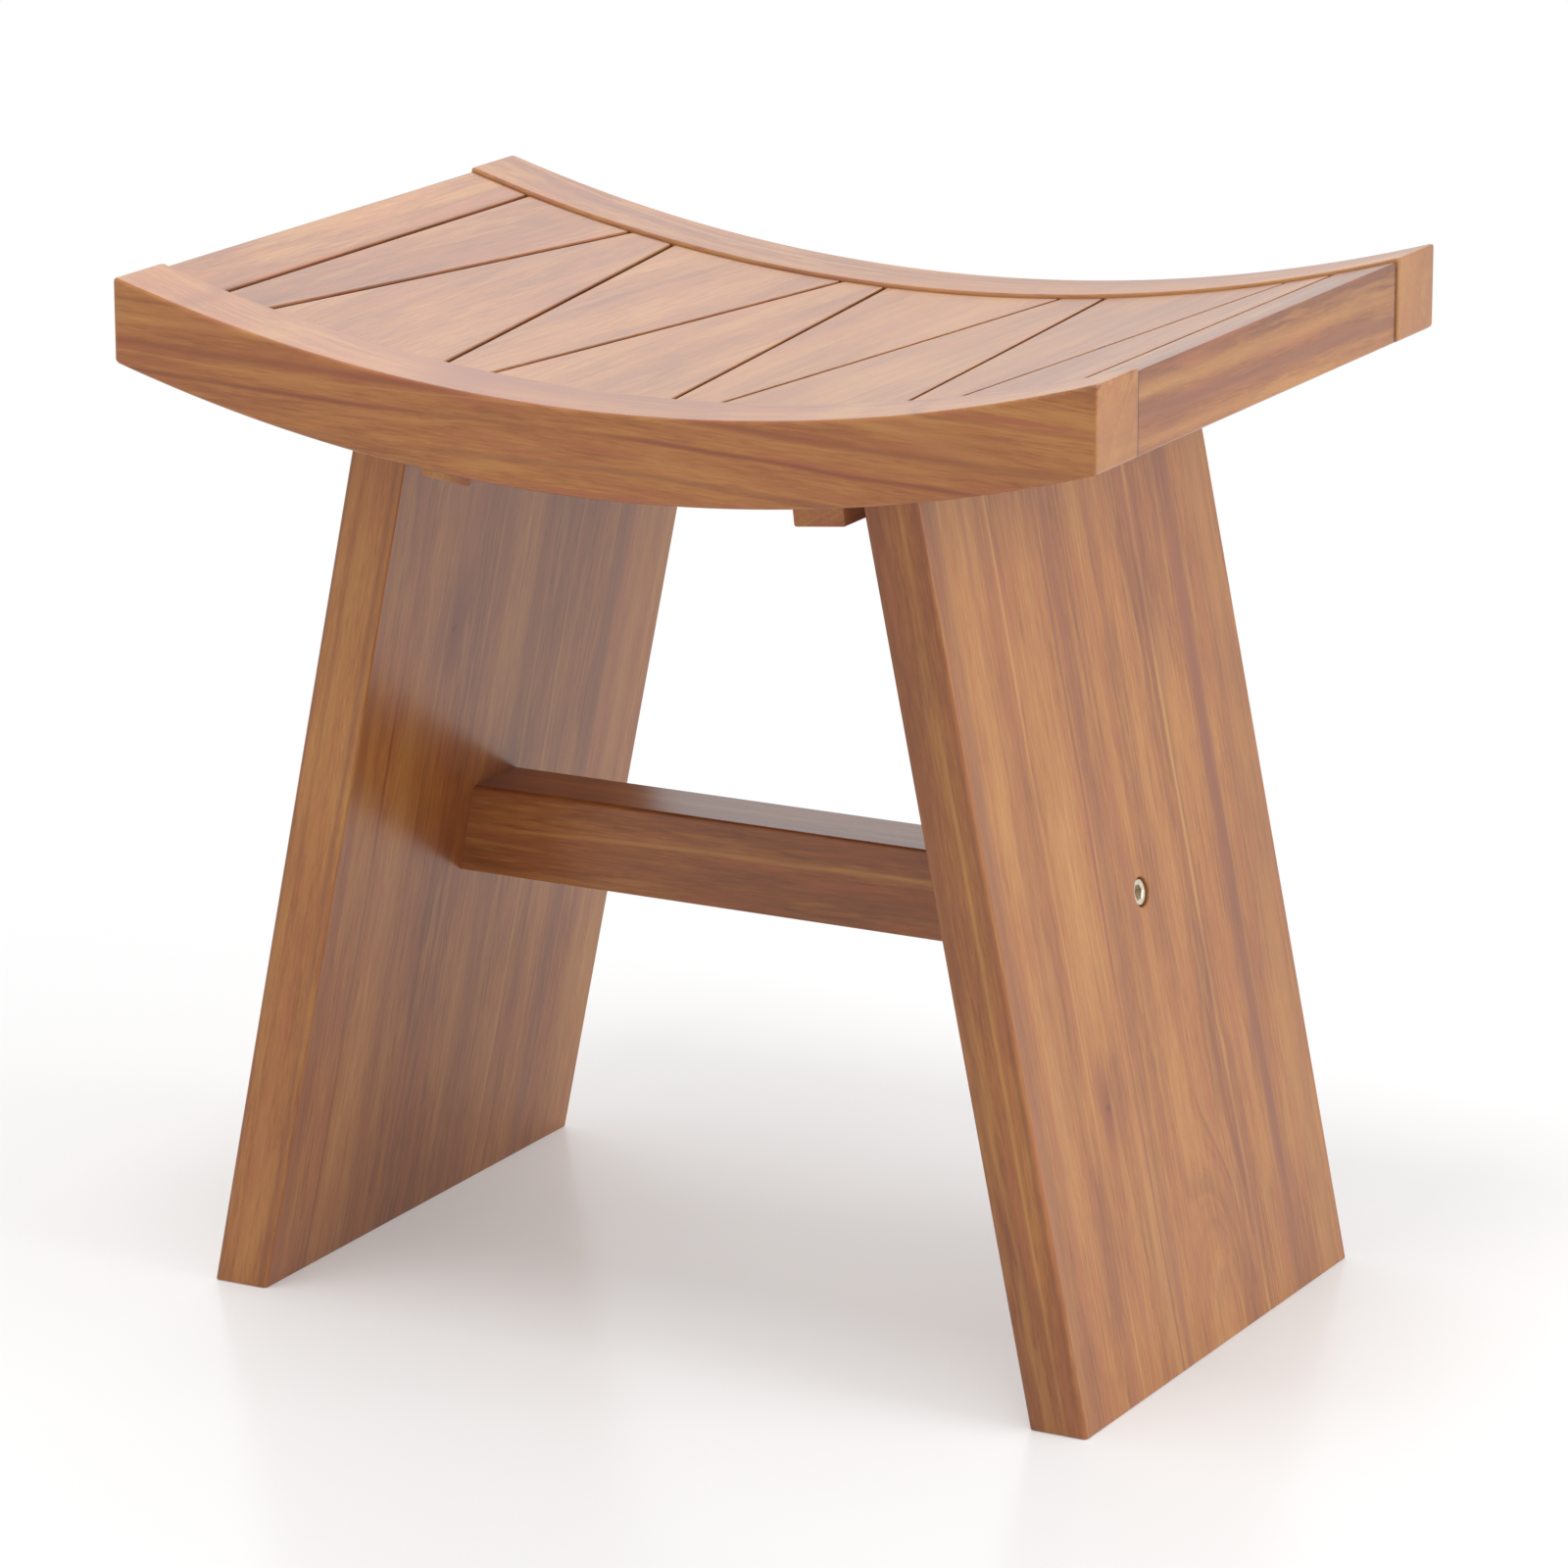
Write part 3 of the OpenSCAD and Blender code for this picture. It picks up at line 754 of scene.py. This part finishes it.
# What makes a place in the board lighter or darker, with its weight
RING_WEIGHTS = ((BANDS, 1.00), (LINES, 0.42), (HAIRS, 0.36))
FIBRE_WEIGHT = 0.78
CLOUD_WEIGHT = 0.60
FIGURE = ((0.12, UMBER), (0.38, BROWN), (0.58, HONEY), (0.90, STRAW))

# How a strength changes between two values of a texture: from, to, strength at from, at to
ROSY_FLECKS = (0.34, 0.49, 0.75, 0.0)
GOLDEN_FLECKS = (0.51, 0.65, 0.0, 0.60)
STREAK_BREAKS = (0.3, 0.55, 0.35, 1.0)
KNOT_BREAKS = (0.44, 0.58, 1.0, 0.40)
PORES_SEEN = (0.60, 0.72, 0.0, 0.30)

# Coloured lines in the rings: colour, rings, the level they follow, half width and strength
RING_LINES = ((MAUVE, PURPLE_RINGS, 0.42, 0.040, 0.26), (YELLOW, YELLOW_RINGS, 0.57, 0.014, 0.25))

KNOT_DRAWN = 0.4  # weight of distances along the grain, which draws a knot's ring out
KNOT_CORE = 0.2  # a core's radius, of the knot's radius
EDGE_SWAY = 0.3  # how much of the grain's sway shows in the board's thickness
END_STRENGTH = 0.60
JOINT_SHADE = 0.0022  # how far the painted shade at the curved rails reaches

# Gloss and relief of the oiled wood
OIL_ROUGH_LEAST = 0.24
OIL_ROUGH_SPREAD = 0.14
FIBRE_RELIEF = 0.4
RELIEF_STRENGTH = 0.10
RELIEF_DEPTH = 0.0004


def joint_shade_mask(tree, spot):
    """Mask of painted shade: 1 between the slats, below the seat's face and above its
    underside, and where the slats and the end rails meet the curved rails."""
    parts = split(tree, vector(tree, "SUBTRACT", spot, (0, 0, ARC_Z)))
    from_axis = vector(tree, "LENGTH", join(tree, parts["X"], parts["Z"]))
    depth = calc(tree, "SUBTRACT", from_axis, ARC_R + RAIL_PROUD)
    below = fade(tree, depth, SLAT_EASE / 2, 3 * SLAT_EASE)
    above = fade(tree, depth, SLAT_T - 4 * SLAT_EASE, SLAT_T - SLAT_EASE, 1.0, 0.0)
    aside = calc(tree, "ABSOLUTE", parts["X"])
    inside = fade(tree, aside, END_INNER + PLAY, END_INNER + SLAT_EASE, 1.0, 0.0)
    between = calc(tree, "MULTIPLY", calc(tree, "MULTIPLY", below, above), inside)
    back = calc(tree, "ABSOLUTE", parts["Y"])
    at_rails = fade(tree, back, INNER_HALF - JOINT_SHADE, INNER_HALF - JOINT_SHADE / 2)
    return calc(tree, "MAXIMUM", between, at_rails)


def texture(tree, where, kind):
    """One of the wood's textures."""
    waves, detail, rough = kind
    return noise(tree, vector(tree, "MULTIPLY", where, waves), detail, rough)


def sway(tree, log):
    """Places in the log after the grain's slow sway and its ripple."""
    swayed = log
    for waves, swing in SWAYS:
        drift = noise(tree, vector(tree, "MULTIPLY", log, waves), SWAY_DETAIL, colour=True)
        drift = vector(tree, "SUBTRACT", drift, (0.5, 0.5, 0.5))
        swayed = vector(tree, "ADD", swayed, vector(tree, "MULTIPLY", drift, (0, swing, swing)))
    return swayed


def part_at_knots(tree, board, radius, knots):
    """Parts the rings round the knots. Gives the rings' new radius, and for each knot how
    much its core and its ring show."""
    marks = []
    for point, size, lift, core in knots:
        away = vector(tree, "SUBTRACT", board, point)
        from_core = vector(tree, "LENGTH", away)
        drawn_out = vector(tree, "LENGTH", vector(tree, "MULTIPLY", away, (KNOT_DRAWN, 1, 1)))
        radius = calc(tree, "ADD", radius, fade(tree, drawn_out, 0.0, size, lift, 0.0))
        marks.append((fade(tree, from_core, 0.0, size * KNOT_CORE, core, 0.0),
                      fade(tree, drawn_out, 0.0, size, core, 0.0)))
    return radius, marks


def growth(tree, length, radius, fibre, cloud, blush, contrast, tone):
    """Colour of the growth rings, with flecks, and with lines of purple and yellow."""
    def rings(stretch, spacing, seed, detail):
        along = calc(tree, "MULTIPLY", length, stretch)
        outward = calc(tree, "MULTIPLY", radius, 1 / spacing)
        return noise(tree, join(tree, along, outward, seed), detail)

    parts = [(rings(*kind), weight * contrast) for kind, weight in RING_WEIGHTS]
    parts += [(fibre, FIBRE_WEIGHT), (cloud, CLOUD_WEIGHT)]
    figure = 0.5 + tone
    for part, weight in parts:
        figure = calc(tree, "ADD", figure, calc(tree, "MULTIPLY_ADD", part, weight, -weight / 2))
    colour = ramp(tree, figure, FIGURE)
    for shade, (start, end, low, high) in ((ROSE, ROSY_FLECKS), (GOLD, GOLDEN_FLECKS)):
        amount = fade(tree, blush, start, end, low * contrast, high * contrast)
        colour = tint(tree, amount, colour, shade)
    for shade, kind, level, half, strength in RING_LINES:
        amount = close_to(tree, rings(*kind), level, half, strength * contrast)
        colour = tint(tree, amount, colour, shade)
    return colour


def streaked(tree, colour, side, streaks, cloud):
    """Adds streaks along the grain; side is the place across them."""
    for place, half, shade, strength in streaks:
        breaks = fade(tree, cloud, *STREAK_BREAKS)
        amount = calc(tree, "MULTIPLY", close_to(tree, side, place, half, strength), breaks)
        colour = tint(tree, amount, colour, shade)
    return colour


def knotted(tree, colour, marks, blush):
    """Adds a rusty ring and a dark core for each knot."""
    for core, ring in marks:
        ring = calc(tree, "MULTIPLY", ring, fade(tree, blush, *KNOT_BREAKS))
        colour = tint(tree, ring, colour, RUST)
        colour = tint(tree, core, colour, KNOT)
    return colour


def oiled(tree, shader, fibre, speck):
    """Gives the shader the gloss of oiled wood, with relief from its fibres and pores."""
    rough = calc(tree, "MULTIPLY_ADD", fibre, OIL_ROUGH_SPREAD, OIL_ROUGH_LEAST)
    tree.links.new(rough, shader.inputs["Roughness"])
    height = calc(tree, "SUBTRACT", calc(tree, "MULTIPLY", fibre, FIBRE_RELIEF), speck)
    inputs = {"Height": height, "Strength": RELIEF_STRENGTH, "Distance": RELIEF_DEPTH}
    bump = make(tree, "ShaderNodeBump", inputs).outputs["Normal"]
    tree.links.new(bump, shader.inputs["Normal"])
    shader.inputs["IOR"].default_value = 1.48
    shader.inputs["Coat Weight"].default_value = 0.12
    shader.inputs["Coat Roughness"].default_value = 0.22


def teak(name, along, across, middle, heart, cut, streaks=(), edge_streaks=(), knots=(),
         contrast=1.0, tone=0.0, end_at=1.0, joints=0.0):
    """Oiled teak. The board lies round its middle, with the grain along it and one face
    across it. heart is the way from the middle to the log's pith, and cut is how far up
    the log it was sawn. Streaks are (place across, half width, colour, strength), and an
    edge streak's place is in the board's thickness. Knots are (point, radius, lift,
    darkness of the core), and the rings part round them. contrast strengthens the figure,
    tone makes the whole board lighter or darker, end grain shows from end_at on, and the
    last argument is how strong the painted shade is in the seat's gaps and by the curved rails."""
    material, tree, shader, spot = new_material(name)
    along = Vector(along).normalized()
    across = (Vector(across) - along * along.dot(across)).normalized()
    through = along.cross(across)
    turn = Matrix((along, across, through)).transposed().to_euler()
    inputs = {"Vector": spot, "Location": Vector(middle), "Rotation": turn}
    board = make(tree, "ShaderNodeMapping", inputs, vector_type="TEXTURE").outputs["Vector"]
    pith_across, pith_through = Vector(heart).dot(across), Vector(heart).dot(through)
    log = vector(tree, "SUBTRACT", board, (-cut, pith_across, pith_through))
    swayed = sway(tree, log)
    flat, grown = split(tree, board), split(tree, swayed)
    radius = vector(tree, "LENGTH", vector(tree, "MULTIPLY", swayed, (0, 1, 1)))
    radius, knot_marks = part_at_knots(tree, board, radius, knots)

    fibre, cloud, pores = (texture(tree, log, kind) for kind in (FIBRE, CLOUD, PORES))
    blush = texture(tree, swayed, BLUSH)
    colour = growth(tree, grown["X"], radius, fibre, cloud, blush, contrast, tone)
    width = calc(tree, "ADD", grown["Y"], pith_across)
    depth = calc(tree, "MULTIPLY", calc(tree, "ADD", grown["Z"], pith_through), EDGE_SWAY)
    depth = calc(tree, "ADD", depth, calc(tree, "MULTIPLY", flat["Z"], 1 - EDGE_SWAY))
    colour = streaked(tree, colour, width, streaks, cloud)
    colour = streaked(tree, colour, depth, edge_streaks, cloud)
    colour = knotted(tree, colour, knot_marks, blush)
    from_middle = calc(tree, "ABSOLUTE", flat["X"])
    end = fade(tree, from_middle, end_at - RAIL_ROUND, end_at - RAIL_ROUND / 4, 0.0, END_STRENGTH)
    colour = tint(tree, end, colour, END_GRAIN)
    # Painted shade, darker in the gaps between the slats and where pieces meet the curved rails
    if joints:
        dark = calc(tree, "MULTIPLY", joint_shade_mask(tree, spot), joints)
        colour = tint(tree, dark, colour, PAINTED_SHADE_COLOUR)
    speck = fade(tree, pores, *PORES_SEEN)
    colour = tint(tree, speck, colour, UMBER)
    tree.links.new(colour, shader.inputs["Base Color"])
    oiled(tree, shader, fibre, speck)
    return material


# ---------------------------------------------------------------- metal
METAL_DARK = 0.72  # darker places, as a share of the colour
METAL_CLOUD = (0.3, 0.7)
SCRATCH_WAVES = (2, 9, 2)
SCRATCH_SPREAD = 0.3


def metal(name, colour, roughness, grain):
    """Plated steel: fine scratches in the roughness and a faint cloud in the colour."""
    material, tree, shader, spot = new_material(name)
    cloud = noise(tree, vector(tree, "MULTIPLY", spot, (grain, grain, grain)), 3.0)
    dark_below, light_above = METAL_CLOUD
    dark = tuple(c * METAL_DARK for c in colour)
    plating = ramp(tree, cloud, [(dark_below, dark), (light_above, colour)])
    waves = tuple(grain * k for k in SCRATCH_WAVES)
    scratch = noise(tree, vector(tree, "MULTIPLY", spot, waves), 2.0)
    least = roughness - SCRATCH_SPREAD / 2
    rough = calc(tree, "MULTIPLY_ADD", scratch, SCRATCH_SPREAD, least)
    tree.links.new(plating, shader.inputs["Base Color"])
    tree.links.new(rough, shader.inputs["Roughness"])
    shader.inputs["Metallic"].default_value = 1.0
    return material


# ---------------------------------------------------------------- the bench
def mirrored_x(v):
    return Vector((-v.x, v.y, v.z))


# Curved rails
RAIL_MID_Z = SEAT_H - RAIL_H / 2 - SEAT_DIP / 2
RAIL_FRONT_MID = (0, -(HALF_W + INNER_HALF) / 2, RAIL_MID_Z)
RAIL_REAR_MID = (0, (HALF_W + INNER_HALF) / 2, RAIL_MID_Z)
RAIL_FRONT_STREAKS = (
    (0.0, 0.060, ROSE, 0.28), (-0.0095, 0.0018, RUST, 0.85), (0.0020, 0.0030, RUST, 0.65),
    (-0.0240, 0.0022, MAUVE, 0.45), (0.0120, 0.0030, YELLOW, 0.3), (0.0195, 0.0016, RUST, 0.5),
)
RAIL_FRONT_TEAK = teak(
    "teak_rail_front", along=(1, 0, -0.035), across=ALONG_Z, middle=RAIL_FRONT_MID,
    heart=(0, 0.20, -0.12), cut=1.7, streaks=RAIL_FRONT_STREAKS, contrast=1.3, tone=0.06,
    end_at=HALF_L,
)
RAIL_REAR_TEAK = teak(
    "teak_rail_rear", along=(1, 0.01, 0.02), across=ALONG_Y, middle=RAIL_REAR_MID,
    heart=(0, 0.22, -0.06), cut=2.3, end_at=HALF_L,
)
piece(curved_rail(-1), "seat_rail_front", ["rail_front"], RAIL_FRONT_TEAK)
piece(curved_rail(1), "seat_rail_rear", ["rail_rear"], RAIL_REAR_TEAK)

# End rails
END_MID = Vector((end_middle()[0], 0, seat_z(end_middle()[0]) + end_middle()[1]))
END_RIGHT_STREAKS = (
    (-0.0010, 0.0060, MAUVE, 0.75), (0.0090, 0.0060, YELLOW, 0.35), (-0.0110, 0.0050, STRAW, 0.40),
)
END_LEFT_TEAK = teak(
    "teak_end_left", along=(0.01, 1, 0.02), across=ALONG_X, middle=mirrored_x(END_MID),
    heart=(-0.16, 0, 0.10), cut=3.3, tone=-0.18, joints=0.8,
)
END_RIGHT_TEAK = teak(
    "teak_end_right", along=(0, 1, -0.02), across=ALONG_Z, middle=END_MID,
    heart=(0.12, 0, -0.18), cut=4.6, streaks=END_RIGHT_STREAKS, contrast=0.8, tone=-0.22,
    joints=0.8,
)
piece(end_rail(), "seat_end_left", ["end_rail_left"], END_LEFT_TEAK, mirrored=True)
piece(end_rail(), "seat_end_right", ["end_rail_right"], END_RIGHT_TEAK)

# Slats
SLAT_TONES = (-0.12, -0.08, -0.03, 0.03, 0.04, 0.0, -0.05, -0.08)
SLAT_SLANT, SLAT_SLANT_STEP = 0.03, 2.3
SLAT_TILT, SLAT_TILT_STEP = 0.01, 3.1
SLAT_PITH_ASIDE = 0.22
SLAT_PITH_ABOVE = (0.05, 0.07, 0.09)
SLAT_CUT, SLAT_CUT_STEP = 5.0, 1.3


def slat_teak(i):
    """Teak of slat i. Each has its own slant of the grain and its own place in the log, and
    the pith lies to the left and to the right by turns."""
    slant = SLAT_SLANT * math.sin(SLAT_SLANT_STEP * i)
    tilt = SLAT_TILT * math.cos(SLAT_TILT_STEP * i)
    return teak(
        f"teak_slat_{i}", along=(slant, 1, tilt), across=ALONG_X,
        middle=((joint_x(i - 1, 0) + joint_x(i, 0)) / 2, 0, seat_z(joint_x(i, 0), RAIL_PROUD)),
        heart=(SLAT_PITH_ASIDE * (-1) ** i, 0, SLAT_PITH_ABOVE[i % 3]),
        cut=SLAT_CUT + SLAT_CUT_STEP * i, contrast=0.6, tone=SLAT_TONES[i - 1], joints=1.0,
    )


for i in range(1, SLAT_COUNT + 1):
    piece(slat(i), f"seat_slat_{i}", [f"slat_{i}"], slat_teak(i))

# Legs
LEG_MID = Vector(((LEG_LOW.x + LEG_HIGH.x) / 2, 0, LEG_HIGH.z / 2))
LEG_RIGHT_STREAKS = (
    (-0.122, 0.009, MAUVE, 0.6), (-0.036, 0.0018, MAUVE, 0.7), (-0.028, 0.005, MAUVE, 0.4),
    (0.082, 0.010, MAUVE, 0.7), (0.047, 0.0024, YELLOW, 0.65), (-0.075, 0.0018, STRAW, 0.8),
    (0.112, 0.018, GOLD, 0.5),
)
# Streaks in the leg's thickness; the umber line at -0.0100, by the outer arris, is painted shade
# of that rounded edge, the others are grain
LEG_RIGHT_EDGE = (
    (0.0090, 0.0030, UMBER, 0.45), (-0.0036, 0.0016, YELLOW, 0.45), (-0.0100, 0.0018, UMBER, 0.45),
)
LEG_RIGHT_KNOTS = (
    ((-0.088, -0.061, -LEG_T / 2), 0.014, 0.006, 0.9),
    ((-0.200, 0.021, -LEG_T / 2), 0.042, -0.050, 0.0),
)
LEG_LEFT_STREAKS = (
    (-0.122, 0.008, RUST, 0.6), (-0.098, 0.0024, RUST, 0.7), (-0.064, 0.0035, RUST, 0.5),
    (-0.030, 0.0018, MAUVE, 0.7), (0.010, 0.007, RUST, 0.5), (0.040, 0.0014, YELLOW, 0.5),
    (0.079, 0.009, MAUVE, 0.6), (0.103, 0.010, GOLD, 0.4),
)
LEG_LEFT_EDGE = (
    (-0.0100, 0.0026, UMBER, 0.5), (0.0000, 0.0030, GOLD, 0.3), (0.0045, 0.0020, RUST, 0.35),
    (0.0110, 0.0014, UMBER, 0.5),
)
LEG_LEFT_KNOTS = (((0.086, -0.061, -LEG_T / 2), 0.016, 0.007, 1.0),)
LEG_RIGHT_TEAK = teak(
    "teak_leg_right", along=LEG_UP, across=ALONG_Y, middle=LEG_MID, heart=(-0.09, -0.36, 0),
    cut=6.1, streaks=LEG_RIGHT_STREAKS, edge_streaks=LEG_RIGHT_EDGE, knots=LEG_RIGHT_KNOTS,
    contrast=0.78,
)
LEG_LEFT_TEAK = teak(
    "teak_leg_left", along=mirrored_x(LEG_UP), across=ALONG_Y, middle=mirrored_x(LEG_MID),
    heart=(0.09, -0.40, 0), cut=5.0, streaks=LEG_LEFT_STREAKS, edge_streaks=LEG_LEFT_EDGE,
    knots=LEG_LEFT_KNOTS, contrast=0.85,
)
piece(leg(), "panel_leg_right", ["leg_right"], LEG_RIGHT_TEAK)
piece(leg(), "panel_leg_left", ["leg_left"], LEG_LEFT_TEAK, mirrored=True)

# Stretcher and battens
STRETCHER_STREAKS = (
    (0.0045, 0.0016, YELLOW, 0.45), (-0.0060, 0.0022, UMBER, 0.35), (0.0120, 0.0014, UMBER, 0.40),
)
STRETCHER_TEAK = teak(
    "teak_stretcher", along=(1, 0, 0.01), across=ALONG_Z, middle=(0, 0, STRETCHER_MID),
    heart=(0, 0.10, -0.15), cut=7.0, streaks=STRETCHER_STREAKS, contrast=0.65, tone=-0.12,
)
BATTEN_TEAK = teak(
    "teak_batten", along=(0.01, 1, 0), across=ALONG_Z, middle=BATTEN_TOP, heart=(0.1, 0, -0.2),
    cut=9.0, tone=-0.07,
)
piece(stretcher(), "leg_stretcher", ["stretcher"], STRETCHER_TEAK)
piece(batten(), "seat_batten_right", ["batten_right"], BATTEN_TEAK)
piece(batten(), "seat_batten_left", ["batten_left"], BATTEN_TEAK, mirrored=True)

# Hardware
NICKEL = metal("brushed_nickel", colour=(0.80, 0.72, 0.58), roughness=0.34, grain=900)
ZINC = metal("zinc_plate", colour=(0.62, 0.60, 0.56), roughness=0.42, grain=700)
piece(stretcher_bolts(), "stretcher_socket_bolts", ["stretcher_bolts"], NICKEL)
piece(barrel_nuts(), "stretcher_barrel_nuts", ["barrel_nuts"], NICKEL)
piece(leg_bolts(), "leg_socket_bolts", ["leg_bolts"], ZINC)
piece(batten_screws(), "batten_hex_screws", ["batten_screws"], ZINC)

# The inner pieces keep their solids
for node, material in (("leg_inserts", ZINC), ("stretcher_dowels", BATTEN_TEAK)):
    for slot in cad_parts[node].material_slots:
        slot.material = material


# ---------------------------------------------------------------- studio
CAMERA_TARGET = Vector((0.000872, 0, 0.21703))
CAMERA_DISTANCE = 3.0067
CAMERA_AZIMUTH = math.radians(28.462)
CAMERA_ELEVATION = math.radians(15.247)
CAMERA_ROLL = math.radians(0.1)
CAMERA_LENS = 162.72
CAMERA_SENSOR = 36.0
CAMERA_FAR = 50
WORLD_LIGHT = 0.62
FLOOR_RADIUS = 14
FLOOR_SIDES = 64
FLOOR_FADE_FROM = 0.35
FLOOR_FADE_TO = 1.1
FLOOR_LIFT = 0.26


def studio_camera():
    back = Vector((
        math.sin(CAMERA_AZIMUTH) * math.cos(CAMERA_ELEVATION),
        -math.cos(CAMERA_AZIMUTH) * math.cos(CAMERA_ELEVATION),
        math.sin(CAMERA_ELEVATION),
    ))
    data = bpy.data.cameras.new("studio_camera")
    data.lens = CAMERA_LENS
    data.sensor_width = CAMERA_SENSOR
    data.sensor_fit = "HORIZONTAL"
    data.clip_end = CAMERA_FAR
    camera = add_object("studio_camera", data)
    place = Matrix.Translation(CAMERA_TARGET + back * CAMERA_DISTANCE)
    look = back.to_track_quat("Z", "Y").to_matrix().to_4x4()
    camera.matrix_world = place @ look @ Matrix.Rotation(-CAMERA_ROLL, 4, "Z")
    bpy.context.scene.camera = camera


def white_seen(tree, lit_strength):
    """Strength that is 1 where the camera or a reflection sees it, and lower as a light."""
    path = make(tree, "ShaderNodeLightPath").outputs
    seen = calc(tree, "MAXIMUM", path["Is Camera Ray"], path["Is Glossy Ray"])
    seen = calc(tree, "MAXIMUM", seen, path["Is Transmission Ray"])
    return calc(tree, "MULTIPLY_ADD", seen, 1 - lit_strength, lit_strength)


def studio_world():
    world = bpy.data.worlds.new("white_cove")
    world.use_nodes = True
    tree = world.node_tree
    background = tree.nodes["Background"]
    background.inputs["Color"].default_value = (1, 1, 1, 1)
    tree.links.new(white_seen(tree, WORLD_LIGHT), background.inputs["Strength"])
    bpy.context.scene.world = world


def floor_white():
    """Glossy white that keeps the shadow and fades to plain white away from the bench. It
    can be looked through from below."""
    material, tree, shader, spot = new_material("floor_white")
    shader.inputs["Base Color"].default_value = (0.95, 0.95, 0.95, 1)
    shader.inputs["Roughness"].default_value = 0.22
    shader.inputs["IOR"].default_value = 1.25
    away = vector(tree, "LENGTH", spot)
    plain = fade(tree, away, FLOOR_FADE_FROM, FLOOR_FADE_TO, FLOOR_LIFT, 1.0)
    seen = calc(tree, "MULTIPLY", plain, white_seen(tree, 0.0))
    white = make(tree, "ShaderNodeEmission").outputs[0]
    above = make(tree, "ShaderNodeMixShader", {0: seen, 1: shader.outputs[0], 2: white}).outputs[0]
    under = make(tree, "ShaderNodeNewGeometry").outputs["Backfacing"]
    clear = make(tree, "ShaderNodeBsdfTransparent").outputs[0]
    both = make(tree, "ShaderNodeMixShader", {0: under, 1: above, 2: clear}).outputs[0]
    tree.links.new(both, tree.nodes["Material Output"].inputs["Surface"])
    return material


def studio_floor():
    bm = bmesh.new()
    bmesh.ops.create_circle(bm, cap_ends=True, radius=FLOOR_RADIUS, segments=FLOOR_SIDES)
    mesh = as_mesh(bm, "floor")
    mesh.materials.append(floor_white())
    floor = add_object("floor", mesh)
    floor.location.z = -PLAY


def lamp(name, place, aim, size, power):
    data = bpy.data.lights.new(name, "AREA")
    data.size = size
    data.energy = power
    made = add_object(name, data)
    made.location = place
    made.rotation_euler = (Vector(place) - Vector(aim)).to_track_quat("Z", "Y").to_euler()
    made.visible_camera = False


studio_camera()
studio_world()
studio_floor()
lamp("overhead_softbox", place=(0.0, -0.55, 2.4), aim=(0, 0, 0.2), size=0.6, power=16)
lamp("side_softbox", place=(2.1, 0.1, 1.1), aim=(0, 0, 0.2), size=1.4, power=20)
lamp("back_softbox", place=(-0.8, 1.85, 1.9), aim=(0, 0, 0.3), size=1.8, power=9.5)
lamp("left_softbox", place=(-1.9, 1.0, 1.2), aim=(0, 0, 0.2), size=1.4, power=5)

bpy.context.scene.view_settings.view_transform = "Standard"
